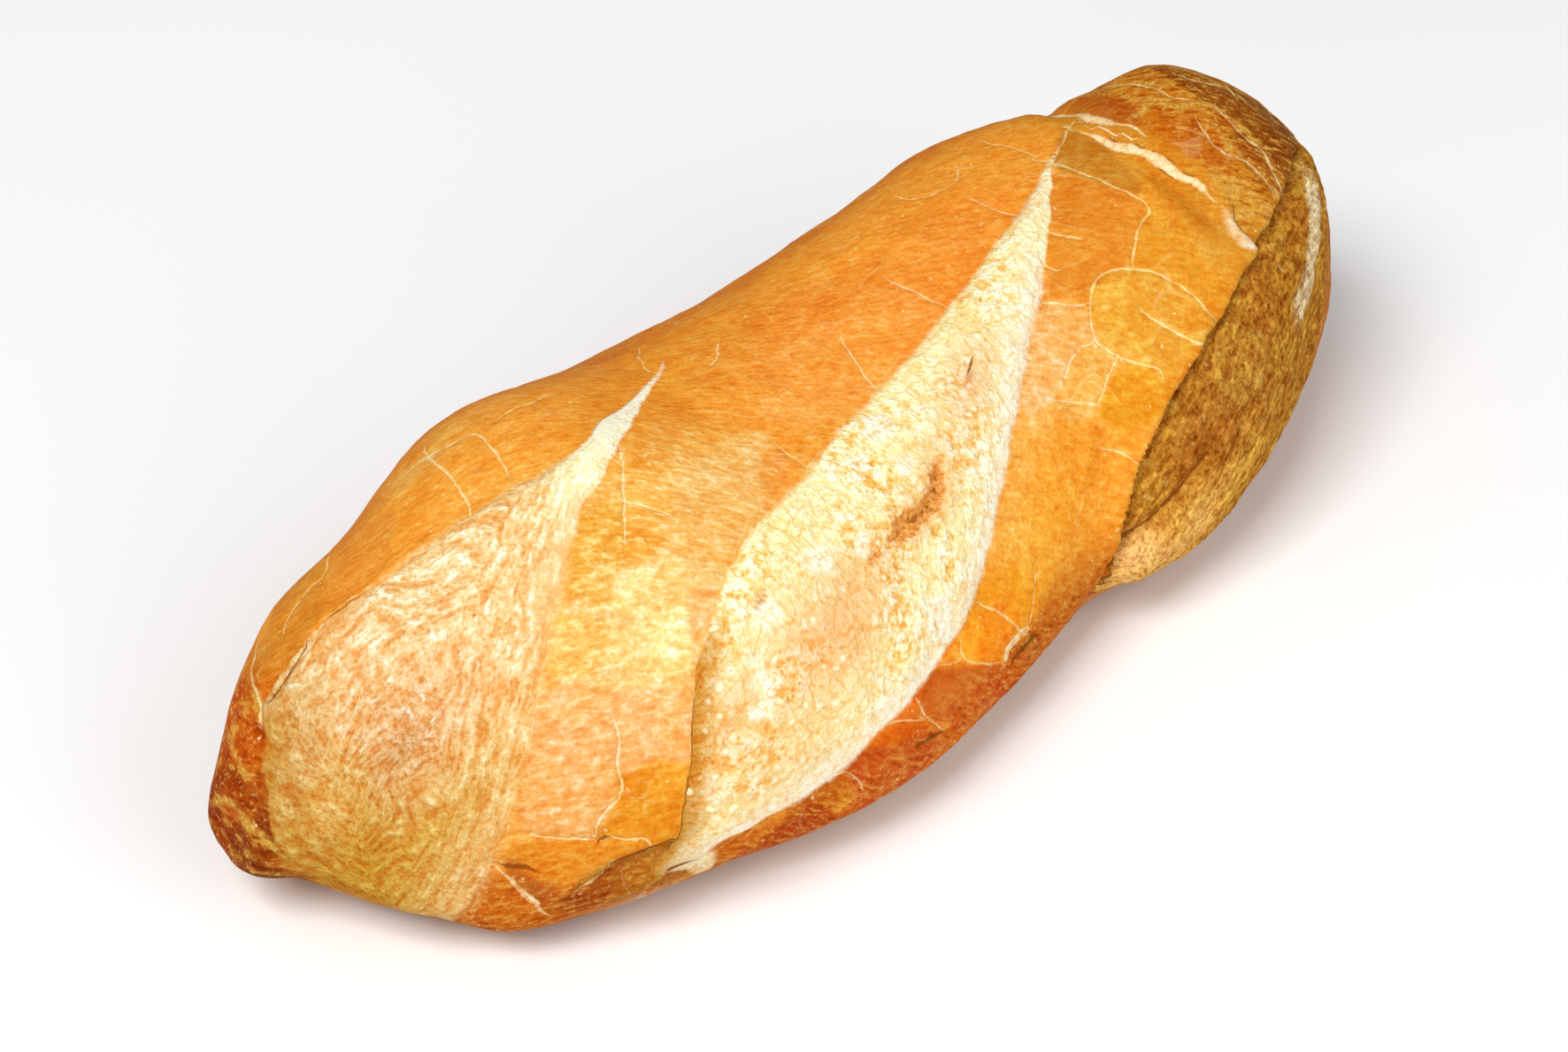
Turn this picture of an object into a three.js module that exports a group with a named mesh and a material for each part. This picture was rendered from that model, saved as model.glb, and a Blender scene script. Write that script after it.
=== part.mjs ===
// A short, wide baguette-style loaf of white bread, baked as one piece.
//
// Millimetres, +Z up.  X runs along the loaf, from its blunt near end (-X) to
// its higher far end (+X).  -Y is the front flank, +Y the back flank.  The
// loaf stands on the flat of its underside at z = 0, and the origin is under
// the middle of the loaf.
//
// The body is a row of cross-sections along X.  Each section is a soft arch
// over a squarish foot, with its own half-width, height and sideways offset,
// because the loaf bends a little.  On that body lie the marks of the baker's
// blade: three slanting slashes that opened in the oven into leaf shapes, with
// a raised lip of crust on the upper side and a pale crumb that domes up
// inside, and a cross-wise tear near the far end.

import * as THREE from 'three';

// ---- driving dimensions, mm ----
const LOAF_LENGTH = 310.4;
// nine equally spaced sections from the near end to the far end
const HALF_WIDTH = [50.2, 61.0, 62.8, 64.3, 60.2, 57.4, 62.3, 51.4, 46.5];
const CENTRE_LINE = [-8.1, -19.6, -17.6, -16.0, -10.5, -4.7, -2.7, -3.4, -0.3];
const SECTION_HEIGHT = [79.3, 82.0, 84.8, 74.1, 70.8, 74.5, 80.3, 94.3, 91.4];
// how the two ends round off in plan, at the top and underneath: two powers
// for the near end and two for the far end
const PLAN_CLOSE = { near: [2.61, 2.0], far: [2.62, 2.07] };
const TOP_CLOSE = { near: [3.0, 2.3], far: [3.0, 2.3] };
const BOTTOM_CLOSE = { near: [5.0, 2.2], far: [5.0, 2.2] };
const WIDEST_AT = 0.266;       // share of the height where a section is widest
const ARCH_POWER = 0.908;      // how full the upper arch is
const FOOT_POWER = 2.6;        // how square the foot of a section is
const FOOT_DROP = 1.15;        // more than 1 cuts a flat under the loaf

// A slash runs from start to end, both (x, girth), where girth is the distance
// round the loaf from its crown line, + towards the front.  upper and lower
// are its half-widths at nine equal steps, depth the step down from the crust,
// dome the rise of the crumb in the middle, lip the height of the crust's edge
// on the upper side between the two shares in lipSpan, and rim its rest height.
const SLASHES = [
  { start: [-31.3, -17.9], end: [-133.5, 73.1], upper: [0, 4, 8, 16.5, 44.6, 58.1, 60.6, 44.2, 0],
    lower: [0, -2.6, -3.8, -6.3, -9.5, -11.9, -10.5, -3.9, 0],
    depth: 2.2, dome: 2.0, lip: 1.8, lipSpan: [0.5, 0.8], rim: 0.5 },
  { start: [79.1, -7.5], end: [-93.4, 90.1], upper: [0, 1.4, 4.5, 12.2, 20, 25, 26.2, 21, 3],
    lower: [0, 5.5, 10.9, 14.6, 17, 19.1, 15.9, 14.3, 3],
    depth: 2.2, dome: 3.0, lip: 1.5, lipSpan: [0.55, 0.98], rim: 0.5 },
  { start: [142, 9.4], end: [35, 98.4], upper: [0, -1.3, -1.1, -1.2, 3.6, 8.7, 11.1, 10.2, 0],
    lower: [0, 13.9, 21.5, 28.3, 32, 33.4, 26, 12.4, 0],
    depth: 2.6, dome: 2.5, lip: 1.8, lipSpan: [0.1, 0.98], rim: 0.6 },
];
const CUT_EDGE = 1.8;          // half the width of the step at a slash's edge
const RIM_REACH = 6.3;         // how far the crust rises beside a slash

// the tear across the loaf near its far end
const TEAR = { x: 87, bend: 0.0065, bendFrom: 5, width: 3.0, depth: 1.8, from: -75, to: 42 };

// local swells and dips of the oven spring: centre, reach, height (- is a dip)
const SWELLS = [
  [83, -57, 13, 14, -1.5], [50, -57, 9, 13, 1.7], [31, -60, 10, 9, -3.0],
  [16, -65, 10, 8, -0.9], [-93, -69, 9, 14, -1.2], [-107, -64, 9, 10, -1.4],
  [-122, -54, 7, 11, 2.9], [-136, -38, 8, 9, -1.2], [-147, -24, 11, 10, -3.2],
  [-155, -10, 18, 13, 3.0], [-150, 5, 32, 12, -1.7], [-140, 9, 42, 11, -0.4],
  [-124, 14, 50, 11, 1.6], [-104, 20, 56, 15, -1.6], [70, 37, 62, 15, 1.1],
  [99, 23, 72, 14, -1.3], [118, 11, 77, 16, 1.6], [-75, 18, 66, 20, 0.4],
];

// the skin's mesh: rings along the loaf and points round each ring
const RINGS = 87;
const ROUND = 52;
const END_CROWDING = 1.6;      // rings crowd towards the ends

// ---- small helpers ----
const clamp = (v, lo, hi) => Math.min(Math.max(v, lo), hi);
const smooth = (a, b, v) => { const q = clamp((v - a) / (b - a), 0, 1); return q * q * (3 - 2 * q); };

// Catmull-Rom curve through evenly spaced values, t from 0 to 1
function along(values, t) {
  const n = values.length - 1;
  const f = clamp(t, 0, 1) * n;
  const i = Math.min(Math.floor(f), n - 1);
  const u = f - i;
  const a = values[Math.max(i - 1, 0)], b = values[i], c = values[i + 1], d = values[Math.min(i + 2, n)];
  return 0.5 * (2 * b + (c - a) * u + (2 * a - 5 * b + 4 * c - d) * u * u + (3 * b - a - 3 * c + d) * u * u * u);
}

// rounding of an end: 1 in the middle of the loaf, 0 at its tip
function closing(t, shape) {
  const [p, q] = t < 0 ? shape.near : shape.far;
  return Math.pow(clamp(1 - Math.pow(Math.min(Math.abs(t), 1), p), 0, 1), 1 / q);
}

// a point of the plain body: t from -1 to 1 along it, angle 0 at the back,
// a quarter turn at the crown, half a turn at the front
function bodyPoint(t, angle) {
  const share = (t + 1) / 2;
  const height = along(SECTION_HEIGHT, share);
  const waist = WIDEST_AT * height;
  const top = waist + (height - waist) * closing(t, TOP_CLOSE);
  const bottom = waist * (1 - closing(t, BOTTOM_CLOSE));
  const width = along(HALF_WIDTH, share) * closing(t, PLAN_CLOSE);
  const centre = along(CENTRE_LINE, share);
  const c = Math.cos(angle), s = Math.sin(angle);
  const x = t * LOAF_LENGTH / 2;
  if (s >= 0) {
    return new THREE.Vector3(x, centre + width * c, waist + (top - waist) * Math.pow(s, ARCH_POWER));
  }
  const y = centre + width * Math.sign(c) * Math.pow(Math.abs(c), 2 / FOOT_POWER);
  const z = waist - (waist - bottom) * FOOT_DROP * Math.pow(-s, 2 / FOOT_POWER);
  return new THREE.Vector3(x, y, Math.max(z, bottom));
}

// rise of one slash at (x, girth)
function slashRelief(slash, x, girth) {
  const dx = slash.end[0] - slash.start[0], dg = slash.end[1] - slash.start[1];
  const length = Math.hypot(dx, dg);
  const rx = x - slash.start[0], rg = girth - slash.start[1];
  const share = (rx * dx + rg * dg) / (length * length);
  const across = (-rx * dg + rg * dx) / length;
  const toUpper = along(slash.upper, share) - across;
  const toLower = across + along(slash.lower, share);
  const width = toUpper + toLower;
  const fade = smooth(0, 0.06, share) * smooth(1, 0.94, share);
  const scale = clamp(width / 16, 0, 1);
  // inside: a step down from the crust, then the dome of the crumb
  const fill = clamp(4 * toUpper * toLower / Math.max(width, 4) ** 2, 0, 1);
  const inside = smooth(-CUT_EDGE, CUT_EDGE, toUpper) * smooth(-CUT_EDGE, CUT_EDGE, toLower) * fade;
  let rise = inside * scale * (-slash.depth + (slash.depth + slash.dome) * Math.pow(fill, 0.7));
  // outside: the crust rises towards the cut, most of all along the lip
  const [from, to] = slash.lipSpan;
  const lip = slash.rim + (slash.lip - slash.rim) * smooth(from - 0.12, from, share) * smooth(to + 0.02, to - 0.1, share);
  const near = (d) => Math.exp(-(Math.max(-d, 0) ** 2) / (RIM_REACH * RIM_REACH)) * smooth(CUT_EDGE, -CUT_EDGE, d);
  if (toLower > 0) rise += fade * scale * lip * near(toUpper);
  if (toUpper > 0) rise += fade * scale * 0.5 * slash.rim * near(toLower);
  return rise;
}

// all that rises from or sinks into the plain body at p, where girth is its
// distance round the loaf from the crown
function relief(p, girth) {
  let h = 0;
  for (const slash of SLASHES) h += slashRelief(slash, p.x, girth);
  const tearX = TEAR.x + TEAR.bend * (girth - TEAR.bendFrom) ** 2;
  h -= TEAR.depth * Math.exp(-(((p.x - tearX) / TEAR.width) ** 2))
    * smooth(TEAR.from, TEAR.from + 25, girth) * smooth(TEAR.to, TEAR.to - 14, girth);
  for (const [x, y, z, reach, rise] of SWELLS) {
    h += rise * Math.exp(-((p.x - x) ** 2 + (p.y - y) ** 2 + (p.z - z) ** 2) / (reach * reach));
  }
  return h;
}

// ---- the loaf's skin ----
function loafGeometry() {
  // the plain body on a grid of rings
  const crown = ROUND / 4;
  const body = [];
  const shares = [];
  for (let i = 0; i < RINGS; i++) {
    const u = -1 + 2 * i / (RINGS - 1);
    const t = Math.sign(u) * (1 - Math.pow(1 - Math.abs(u), END_CROWDING));
    shares.push(t);
    const ring = [];
    for (let j = 0; j < ROUND; j++) ring.push(bodyPoint(t, 2 * Math.PI * j / ROUND));
    body.push(ring);
  }

  // every ring but the two tips is lifted along its normal by the relief
  const points = [];
  for (let i = 0; i < RINGS; i++) {
    const ring = body[i];
    const run = [0];
    for (let j = 0; j < ROUND; j++) run.push(run[j] + ring[j].distanceTo(ring[(j + 1) % ROUND]));
    const around = run[ROUND];
    const lifted = [];
    for (let j = 0; j < ROUND; j++) {
      const p = ring[j].clone();
      if (i > 0 && i < RINGS - 1) {
        let girth = run[j] - run[crown];
        if (girth > around / 2) girth -= around;
        const lengthwise = body[i + 1][j].clone().sub(body[i - 1][j]);
        const crosswise = ring[(j + 1) % ROUND].clone().sub(ring[(j + ROUND - 1) % ROUND]);
        const normal = lengthwise.cross(crosswise).normalize();
        const rise = relief(p, girth) * smooth(2, 14, p.z) * smooth(0, 0.02, 1 - Math.abs(shares[i]));
        p.addScaledVector(normal, rise);
      }
      if (p.z < 0.05) p.z = 0;
      lifted.push(p);
    }
    points.push(lifted);
  }

  // the origin goes under the middle of the loaf
  const box = new THREE.Box3().setFromPoints(points.flat());
  const middle = box.getCenter(new THREE.Vector3());

  const vertices = [];
  const put = (p) => { vertices.push(p.x - middle.x, p.y - middle.y, p.z); return vertices.length / 3 - 1; };
  const nearTip = put(points[0][0]);
  const index = [];
  for (let i = 1; i < RINGS - 1; i++) index.push(points[i].map(put));
  const farTip = put(points[RINGS - 1][0]);

  const faces = [];
  const last = index.length - 1;
  for (let j = 0; j < ROUND; j++) {
    const k = (j + 1) % ROUND;
    faces.push(nearTip, index[0][k], index[0][j]);
    for (let i = 0; i < last; i++) {
      const a = index[i][j], b = index[i][k], c = index[i + 1][k], d = index[i + 1][j];
      faces.push(a, b, c, a, c, d);
    }
    faces.push(farTip, index[last][j], index[last][k]);
  }
  const geometry = new THREE.BufferGeometry();
  geometry.setAttribute('position', new THREE.Float32BufferAttribute(vertices, 3));
  geometry.setIndex(faces);
  geometry.computeVertexNormals();
  return geometry;
}

const crust = new THREE.MeshStandardMaterial({ color: 0xd79442, roughness: 0.55, metalness: 0 });
const loaf = new THREE.Mesh(loafGeometry(), crust);
loaf.name = 'loaf';

const model = new THREE.Group();
model.add(loaf);

export default model;
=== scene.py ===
# Looks of a short, wide baguette-style loaf: golden crust, three slashes that
# opened into pale leaves, a tear near the far end and a net of fine cracks.
import math
import bpy
import numpy as np
from mathutils import Matrix, Vector


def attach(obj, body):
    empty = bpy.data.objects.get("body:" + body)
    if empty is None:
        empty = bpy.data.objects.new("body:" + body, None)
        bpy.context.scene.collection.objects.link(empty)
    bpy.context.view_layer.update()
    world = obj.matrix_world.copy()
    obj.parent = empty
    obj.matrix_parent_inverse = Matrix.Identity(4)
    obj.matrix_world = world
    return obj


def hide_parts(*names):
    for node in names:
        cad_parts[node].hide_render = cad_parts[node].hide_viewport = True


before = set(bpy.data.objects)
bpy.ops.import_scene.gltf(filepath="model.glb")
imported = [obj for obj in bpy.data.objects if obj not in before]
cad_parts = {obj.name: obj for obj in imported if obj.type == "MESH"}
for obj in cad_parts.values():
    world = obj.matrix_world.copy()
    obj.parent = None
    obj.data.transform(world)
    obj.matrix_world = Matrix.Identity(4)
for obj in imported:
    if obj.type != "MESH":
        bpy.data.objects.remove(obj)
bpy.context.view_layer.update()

# ---------------------------------------------------------------------------
# the loaf's sizes, mm, the same as in the construction
# ---------------------------------------------------------------------------
LOAF_LENGTH = 310.4
HALF_WIDTH = [50.2, 61.0, 62.8, 64.3, 60.2, 57.4, 62.3, 51.4, 46.5]
CENTRE_LINE = [-8.1, -19.6, -17.6, -16.0, -10.5, -4.7, -2.7, -3.4, -0.3]
SECTION_HEIGHT = [79.3, 82.0, 84.8, 74.1, 70.8, 74.5, 80.3, 94.3, 91.4]
PLAN_CLOSE = ((2.61, 2.0), (2.62, 2.07))
TOP_CLOSE = ((3.0, 2.3), (3.0, 2.3))
BOTTOM_CLOSE = ((5.0, 2.2), (5.0, 2.2))
WIDEST_AT, ARCH_POWER, FOOT_POWER, FOOT_DROP = 0.266, 0.908, 2.6, 1.15
MIDDLE_Y = -12.016       # the construction's origin lies under the box's middle

SLASHES = [
    dict(start=(-31.3, -17.9), end=(-133.5, 73.1), upper=[2.2, 5.6, 9.8, 16.4, 41.0, 58.0, 60.3, 45.5, 4],
         lower=[-1.8, -3.4, -4.5, -6.4, -10.6, -12.5, -11.0, -6.6, 0],
         depth=2.2, dome=2.0, lip=1.2, span=(0.5, 0.8), rim=0.5,
         step_upper=([0.46, 0.54, 0.60, 0.70], [0.05, 0.22, 0.22, 0.12]), step_lower=([0, 1], [0.02, 0.02])),
    dict(start=(79.1, -7.5), end=(-93.4, 90.1), upper=[-0.8, -0.3, 4.6, 12.6, 20.8, 26.3, 28.3, 23.4, 5],
         lower=[0.8, 5.8, 11.3, 13.4, 16.7, 20.2, 17.4, 16.0, 5],
         depth=2.2, dome=3.0, lip=1.5, span=(0.55, 0.98), rim=0.5,
         step_upper=([0.80, 0.94], [0.02, 0.28]), step_lower=([0, 1], [0.06, 0.08])),
    dict(start=(142.0, 9.4), end=(35.0, 98.4), upper=[0, 0.8, 0.9, 2.9, 7.5, 12.6, 17.0, 15.8, 5],
         lower=[0, 13.9, 21.5, 28.3, 32, 33.4, 26, 12.4, 0],
         depth=2.6, dome=2.5, lip=1.8, span=(0.1, 0.98), rim=0.6,
         step_upper=([0, 1], [1.0, 1.0]), step_lower=([0, 1], [0.5, 0.5])),
]
RIM_REACH = 6.3
TEAR = dict(x=87.0, bend=0.0065, bend_from=5.0, width=3.0, depth=1.8, lo=-75.0, hi=42.0)
SWELLS = [
    (83, -57, 13, 14, -1.5), (50, -57, 9, 13, 1.7), (31, -60, 10, 9, -3.0),
    (16, -65, 10, 8, -0.9), (-93, -69, 9, 14, -1.2), (-107, -64, 9, 10, -1.4),
    (-122, -54, 7, 11, 2.9), (-136, -38, 8, 9, -1.2), (-147, -24, 11, 10, -3.2),
    (-155, -10, 18, 13, 3.0), (-150, 5, 32, 12, -1.7), (-140, 9, 42, 11, -0.4),
    (-124, 14, 50, 11, 1.6), (-104, 20, 56, 15, -1.6), (70, 37, 62, 15, 1.1),
    (99, 23, 72, 14, -1.3), (118, 11, 77, 16, 1.6), (-75, 18, 66, 20, 0.4),
    (112.5, 9, 78, 8, 0.9),
]

# Cracks of the crust as (half-width, [(x, girth), ...]), where girth is the
# distance round the loaf from its crown line, + towards the front.
PALE_CRACKS = [
    (0.75, [(91.9, -31.0), (91.4, -22.2), (91.8, -16.9), (91.0, -9.3), (91.3, -2.3), (93.0, 2.2), (92.8, 6.4)]),
    (1.05, [(85.5, -11.6), (87.0, -5.4), (87.4, 1.7), (88.9, 6.8), (89.7, 10.6), (90.3, 14.2), (91.9, 19.8), (93.7, 24.5), (94.5, 28.7)]),
    (0.35, [(89.6, -13.2), (87.9, -12.0), (80.8, -6.4), (76.2, -4.1), (72.4, -1.5)]),
    (0.45, [(71.9, -7.1), (72.7, -4.4), (73.7, -0.9), (74.1, 3.5), (75.3, 7.7), (77.8, 13.5), (79.1, 17.9), (79.9, 20.5)]),
    (0.50, [(55.1, 12.6), (56.9, 15.5), (58.8, 17.8), (60.9, 20.1)]),
    (0.35, [(48.9, 18.5), (49.1, 21.2), (50.5, 23.3)]),
    (0.45, [(51.5, 33.2), (53.3, 31.3), (56.4, 29.9), (59.6, 29.6), (63.1, 30.7), (65.9, 32.6), (69.0, 35.0), (71.4, 38.2), (73.6, 42.2), (74.9, 46.5), (75.0, 50.1), (74.5, 52.6)]),
    (0.45, [(79.9, 20.5), (78.8, 23.3), (76.6, 23.7), (73.2, 25.3), (69.3, 28.6), (65.8, 31.7)]),
    (0.55, [(60.9, 39.8), (62.4, 43.3), (64.6, 46.7), (66.7, 50.1), (68.9, 52.7), (73.1, 54.7)]),
    (0.35, [(51.5, 33.2), (49.1, 36.5), (47.2, 40.0), (48.1, 42.8), (49.6, 45.5), (53.0, 49.0), (55.1, 50.8), (57.4, 53.4), (57.3, 55.2)]),
    (0.30, [(40.8, 25.7), (44.3, 28.6), (48.6, 31.9), (51.3, 33.1)]),
    (0.30, [(46.7, 40.6), (43.4, 40.0), (39.8, 41.1), (35.6, 43.1)]),
    (0.30, [(49.5, 46.3), (45.7, 47.9), (42.3, 50.3), (40.0, 52.0), (37.6, 50.3), (32.6, 47.0), (29.2, 44.3)]),
    (0.35, [(36.6, 59.9), (40.0, 62.8), (43.7, 67.5)]),
    (0.50, [(96.4, 32.7), (96.3, 36.2), (95.8, 39.3), (96.4, 42.8)]),
    (0.50, [(112.5, 8.8), (112.6, 13.5), (113.4, 18.1), (114.7, 22.2), (113.1, 27.8), (111.0, 33.9)]),
    (0.40, [(113.6, -6.2), (114.9, -1.7), (118.5, 0.4), (123.3, 1.8), (121.5, 7.1)]),
    (0.40, [(105.0, 9.6), (103.5, 16.1), (104.9, 20.8), (109.0, 26.0), (108.8, 31.7)]),
    (0.35, [(103.0, -18.8), (104.1, -10.1), (105.6, -4.7), (106.3, 1.2), (109.4, 4.8)]),
    (0.30, [(73.1, -25.9), (72.3, -20.7), (73.2, -11.8), (73.1, -6.1)]),
    (0.30, [(61.0, -21.1), (54.5, -14.6), (45.6, -17.5), (45.3, -24.5)]),
    (0.30, [(51.9, -6.6), (52.3, 0.5), (54.9, 6.0)]),
    (0.35, [(20.0, -2.0), (21.0, 3.7), (22.0, 9.7), (23.6, 15.2)]),
    (0.40, [(-65.3, 5.8), (-68.8, 11.2), (-72.9, 17.0), (-77.0, 22.0), (-80.4, 26.3)]),
    (0.30, [(-74.6, 18.9), (-72.1, 21.1), (-69.4, 24.7), (-68.4, 26.2)]),
    (0.35, [(-34.2, 18.2), (-34.2, 23.0), (-34.2, 27.9)]),
    (0.35, [(0.0, 3.1), (-2.1, 9.4), (-4.2, 15.3), (-5.2, 19.4)]),
    (0.30, [(-29.3, -33.4), (-36.7, -22.7), (-37.8, -16.5)]),
    (0.40, [(-77.0, -20.1), (-72.9, -20.2), (-68.6, -19.4), (-64.1, -21.0), (-62.3, -18.9)]),
    (0.30, [(-18.1, -17.1), (-23.6, -12.1), (-27.3, -10.0)]),
    (0.45, [(-87.8, -32.7), (-90.9, -27.2), (-91.8, -21.0), (-94.5, -11.6), (-96.8, -4.2), (-99.6, 0.3)]),
    (0.40, [(-96.9, -36.0), (-94.5, -31.6), (-90.0, -27.5), (-86.8, -24.1), (-82.1, -20.5), (-83.7, -13.5), (-85.9, -6.3), (-87.5, -1.9)]),
    (0.35, [(-112.4, -36.8), (-119.5, -24.6), (-123.6, -23.6), (-130.6, -18.2), (-134.1, -13.2)]),
    (0.50, [(-130.6, -31.6), (-137.9, -18.2), (-141.2, -12.3), (-144.6, -0.6), (-146.6, 2.7)]),
    (0.40, [(-150.6, 25.9), (-148.9, 34.1), (-145.7, 50.7)]),
    (0.45, [(-99.1, 50.0), (-99.9, 54.3), (-101.7, 58.7), (-102.8, 62.9), (-105.2, 64.4), (-107.7, 65.1), (-108.9, 67.9)]),
    (0.50, [(-125.7, 57.3), (-124.4, 61.2), (-122.8, 66.2), (-120.5, 73.4), (-117.6, 80.4)]),
    (0.90, [(-124.0, 62.4), (-122.4, 67.4), (-120.6, 72.6), (-119.2, 76.4)]),
    (0.40, [(-119.2, 57.3), (-116.9, 60.0), (-114.4, 63.2), (-111.8, 65.8), (-109.5, 67.8)]),
    (0.40, [(-106.6, 70.4), (-103.0, 74.0), (-100.1, 76.6), (-98.9, 79.3), (-98.7, 80.8)]),
    (0.45, [(-104.2, 78.0), (-106.4, 77.5), (-108.8, 77.7), (-110.4, 78.0), (-112.8, 77.6)]),
    (0.45, [(-12.5, 68.8), (-6.8, 73.4), (-2.8, 77.9), (0.3, 82.8), (4.2, 85.9)]),
    (0.35, [(7.6, 70.9), (6.3, 76.2), (4.2, 79.7), (3.3, 83.5)]),
    (0.40, [(-19.6, 73.9), (-20.4, 77.1), (-18.6, 79.9), (-13.2, 83.0), (-7.1, 86.0)]),
    (0.35, [(-36.8, 75.4), (-32.1, 75.9), (-28.0, 76.4), (-21.4, 78.0)]),
    (0.35, [(-36.0, 79.9), (-35.0, 82.5), (-32.9, 86.3), (-30.1, 89.7), (-28.1, 92.6)]),
    (0.35, [(-45.0, 82.6), (-42.0, 83.0), (-38.9, 83.9), (-32.4, 87.0)]),
    (0.35, [(-59.4, 89.3), (-55.1, 90.4), (-52.3, 93.9), (-51.7, 96.5)]),
    (1.30, [(-6.2, 86.8), (-4.6, 84.8), (-2.0, 83.7), (2.8, 83.0)]),
    # on the back flank, guessed
    (0.40, [(-60.0, -52.0), (-48.0, -58.0), (-33.0, -60.0), (-22.0, -70.0)]),
    (0.35, [(-33.0, -60.0), (-28.0, -48.0), (-18.0, -42.0)]),
    (0.45, [(10.0, -60.0), (24.0, -68.0), (41.0, -66.0), (55.0, -78.0)]),
    (0.35, [(41.0, -66.0), (47.0, -52.0), (60.0, -46.0)]),
    (0.40, [(-110.0, -60.0), (-98.0, -72.0), (-80.0, -74.0)]),
    (0.40, [(100.0, -50.0), (112.0, -58.0), (126.0, -56.0)]),
]
# creases where one piece of crust laps over the next; the dark line drawn along them is painted shade under the lap
SHADED_LAP_CREASES = [
    (0.40, [(-127.6, -6.6), (-124.7, -6.9), (-121.2, -7.2), (-118.0, -7.0)]),
    (0.35, [(-144.2, 0.7), (-141.2, 0.4), (-136.5, -1.6), (-133.3, -3.9)]),
    (0.35, [(17.1, 27.8), (13.8, 29.7)]),
    (0.40, [(97.6, 32.0), (96.4, 36.7), (96.4, 42.8)]),
    (0.45, [(64.2, 73.4), (55.9, 77.5), (45.7, 80.6), (35.2, 83.1), (32.5, 91.6)]),
    (0.35, [(38.0, 95.0), (45.1, 93.2), (50.0, 94.5)]),
    (0.75, [(-94.2, 82.7), (-96.6, 81.7), (-99.0, 80.6), (-101.8, 79.0), (-104.2, 78.0), (-106.4, 77.5)]),
    (0.75, [(-89.4, 94.3), (-94.3, 91.6), (-97.8, 91.8), (-99.3, 93.5), (-102.8, 91.4), (-105.6, 90.4)]),
    (0.35, [(-108.6, 69.2), (-107.6, 69.7), (-106.4, 70.7)]),
    (0.45, [(-124.4, 59.6), (-123.4, 61.4), (-121.4, 63.8), (-119.6, 66.3)]),
    (0.45, [(-4.1, 88.5), (-1.5, 87.5), (2.5, 86.9), (6.9, 87.4)]),
    (0.40, [(-36.9, 91.7), (-31.9, 92.3), (-28.1, 92.6)]),
]
# the brown crease in the middle slash
CRUMB_CREASE = [(2.1, [(-7.0, 40.4), (-10.5, 44.2), (-14.3, 46.1), (-19.1, 47.2), (-24.4, 47.7), (-29.9, 48.7)]),
                (0.5, [(-28.0, 48.5), (-33.2, 49.8), (-35.3, 50.1), (-38.2, 50.3)])]
# wide ochre seams between plates of crust at the two ends
SEAMS = [
    (0.9, [(98.0, -26.0), (98.6, -23.9), (101.9, -15.9), (105.3, -7.9), (108.9, -1.9)]),
    (0.9, [(98.6, -19.5), (99.6, -6.1), (102.1, -0.3), (105.1, 5.0), (108.7, 5.8), (112.2, 8.6), (113.5, 12.5), (115.2, 15.6), (114.7, 20.8), (113.9, 26.8), (112.7, 31.3)]),
    (0.7, [(93.6, 0.4), (97.8, 0.0), (101.7, 0.2)]),
    (0.6, [(107.7, 12.8), (106.6, 18.0), (107.2, 22.3), (108.4, 26.2), (109.6, 29.7), (109.2, 35.1)]),
    (0.6, [(96.2, 22.4), (99.8, 23.3), (100.2, 27.6), (97.1, 31.5)]),
    (0.6, [(113.0, -14.0), (114.3, -9.3), (118.2, -5.0), (121.1, 1.3), (124.0, 6.2), (124.5, 14.9)]),
    (0.7, [(-143.5, -4.6), (-145.3, 0.3), (-146.6, 3.9)]),
    (0.8, [(-149.7, -7.6), (-151.3, -1.0), (-151.8, 5.5)]),
    (0.9, [(-154.2, -10.8), (-154.6, -1.7), (-153.6, 9.3), (-152.2, 17.3), (-151.5, 22.7)]),
    (0.7, [(-153.8, 20.6), (-152.5, 25.9), (-150.6, 33.0)]),
    (0.9, [(-136.0, -14.0), (-141.0, -20.0), (-147.0, -24.0)]),
]
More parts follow.
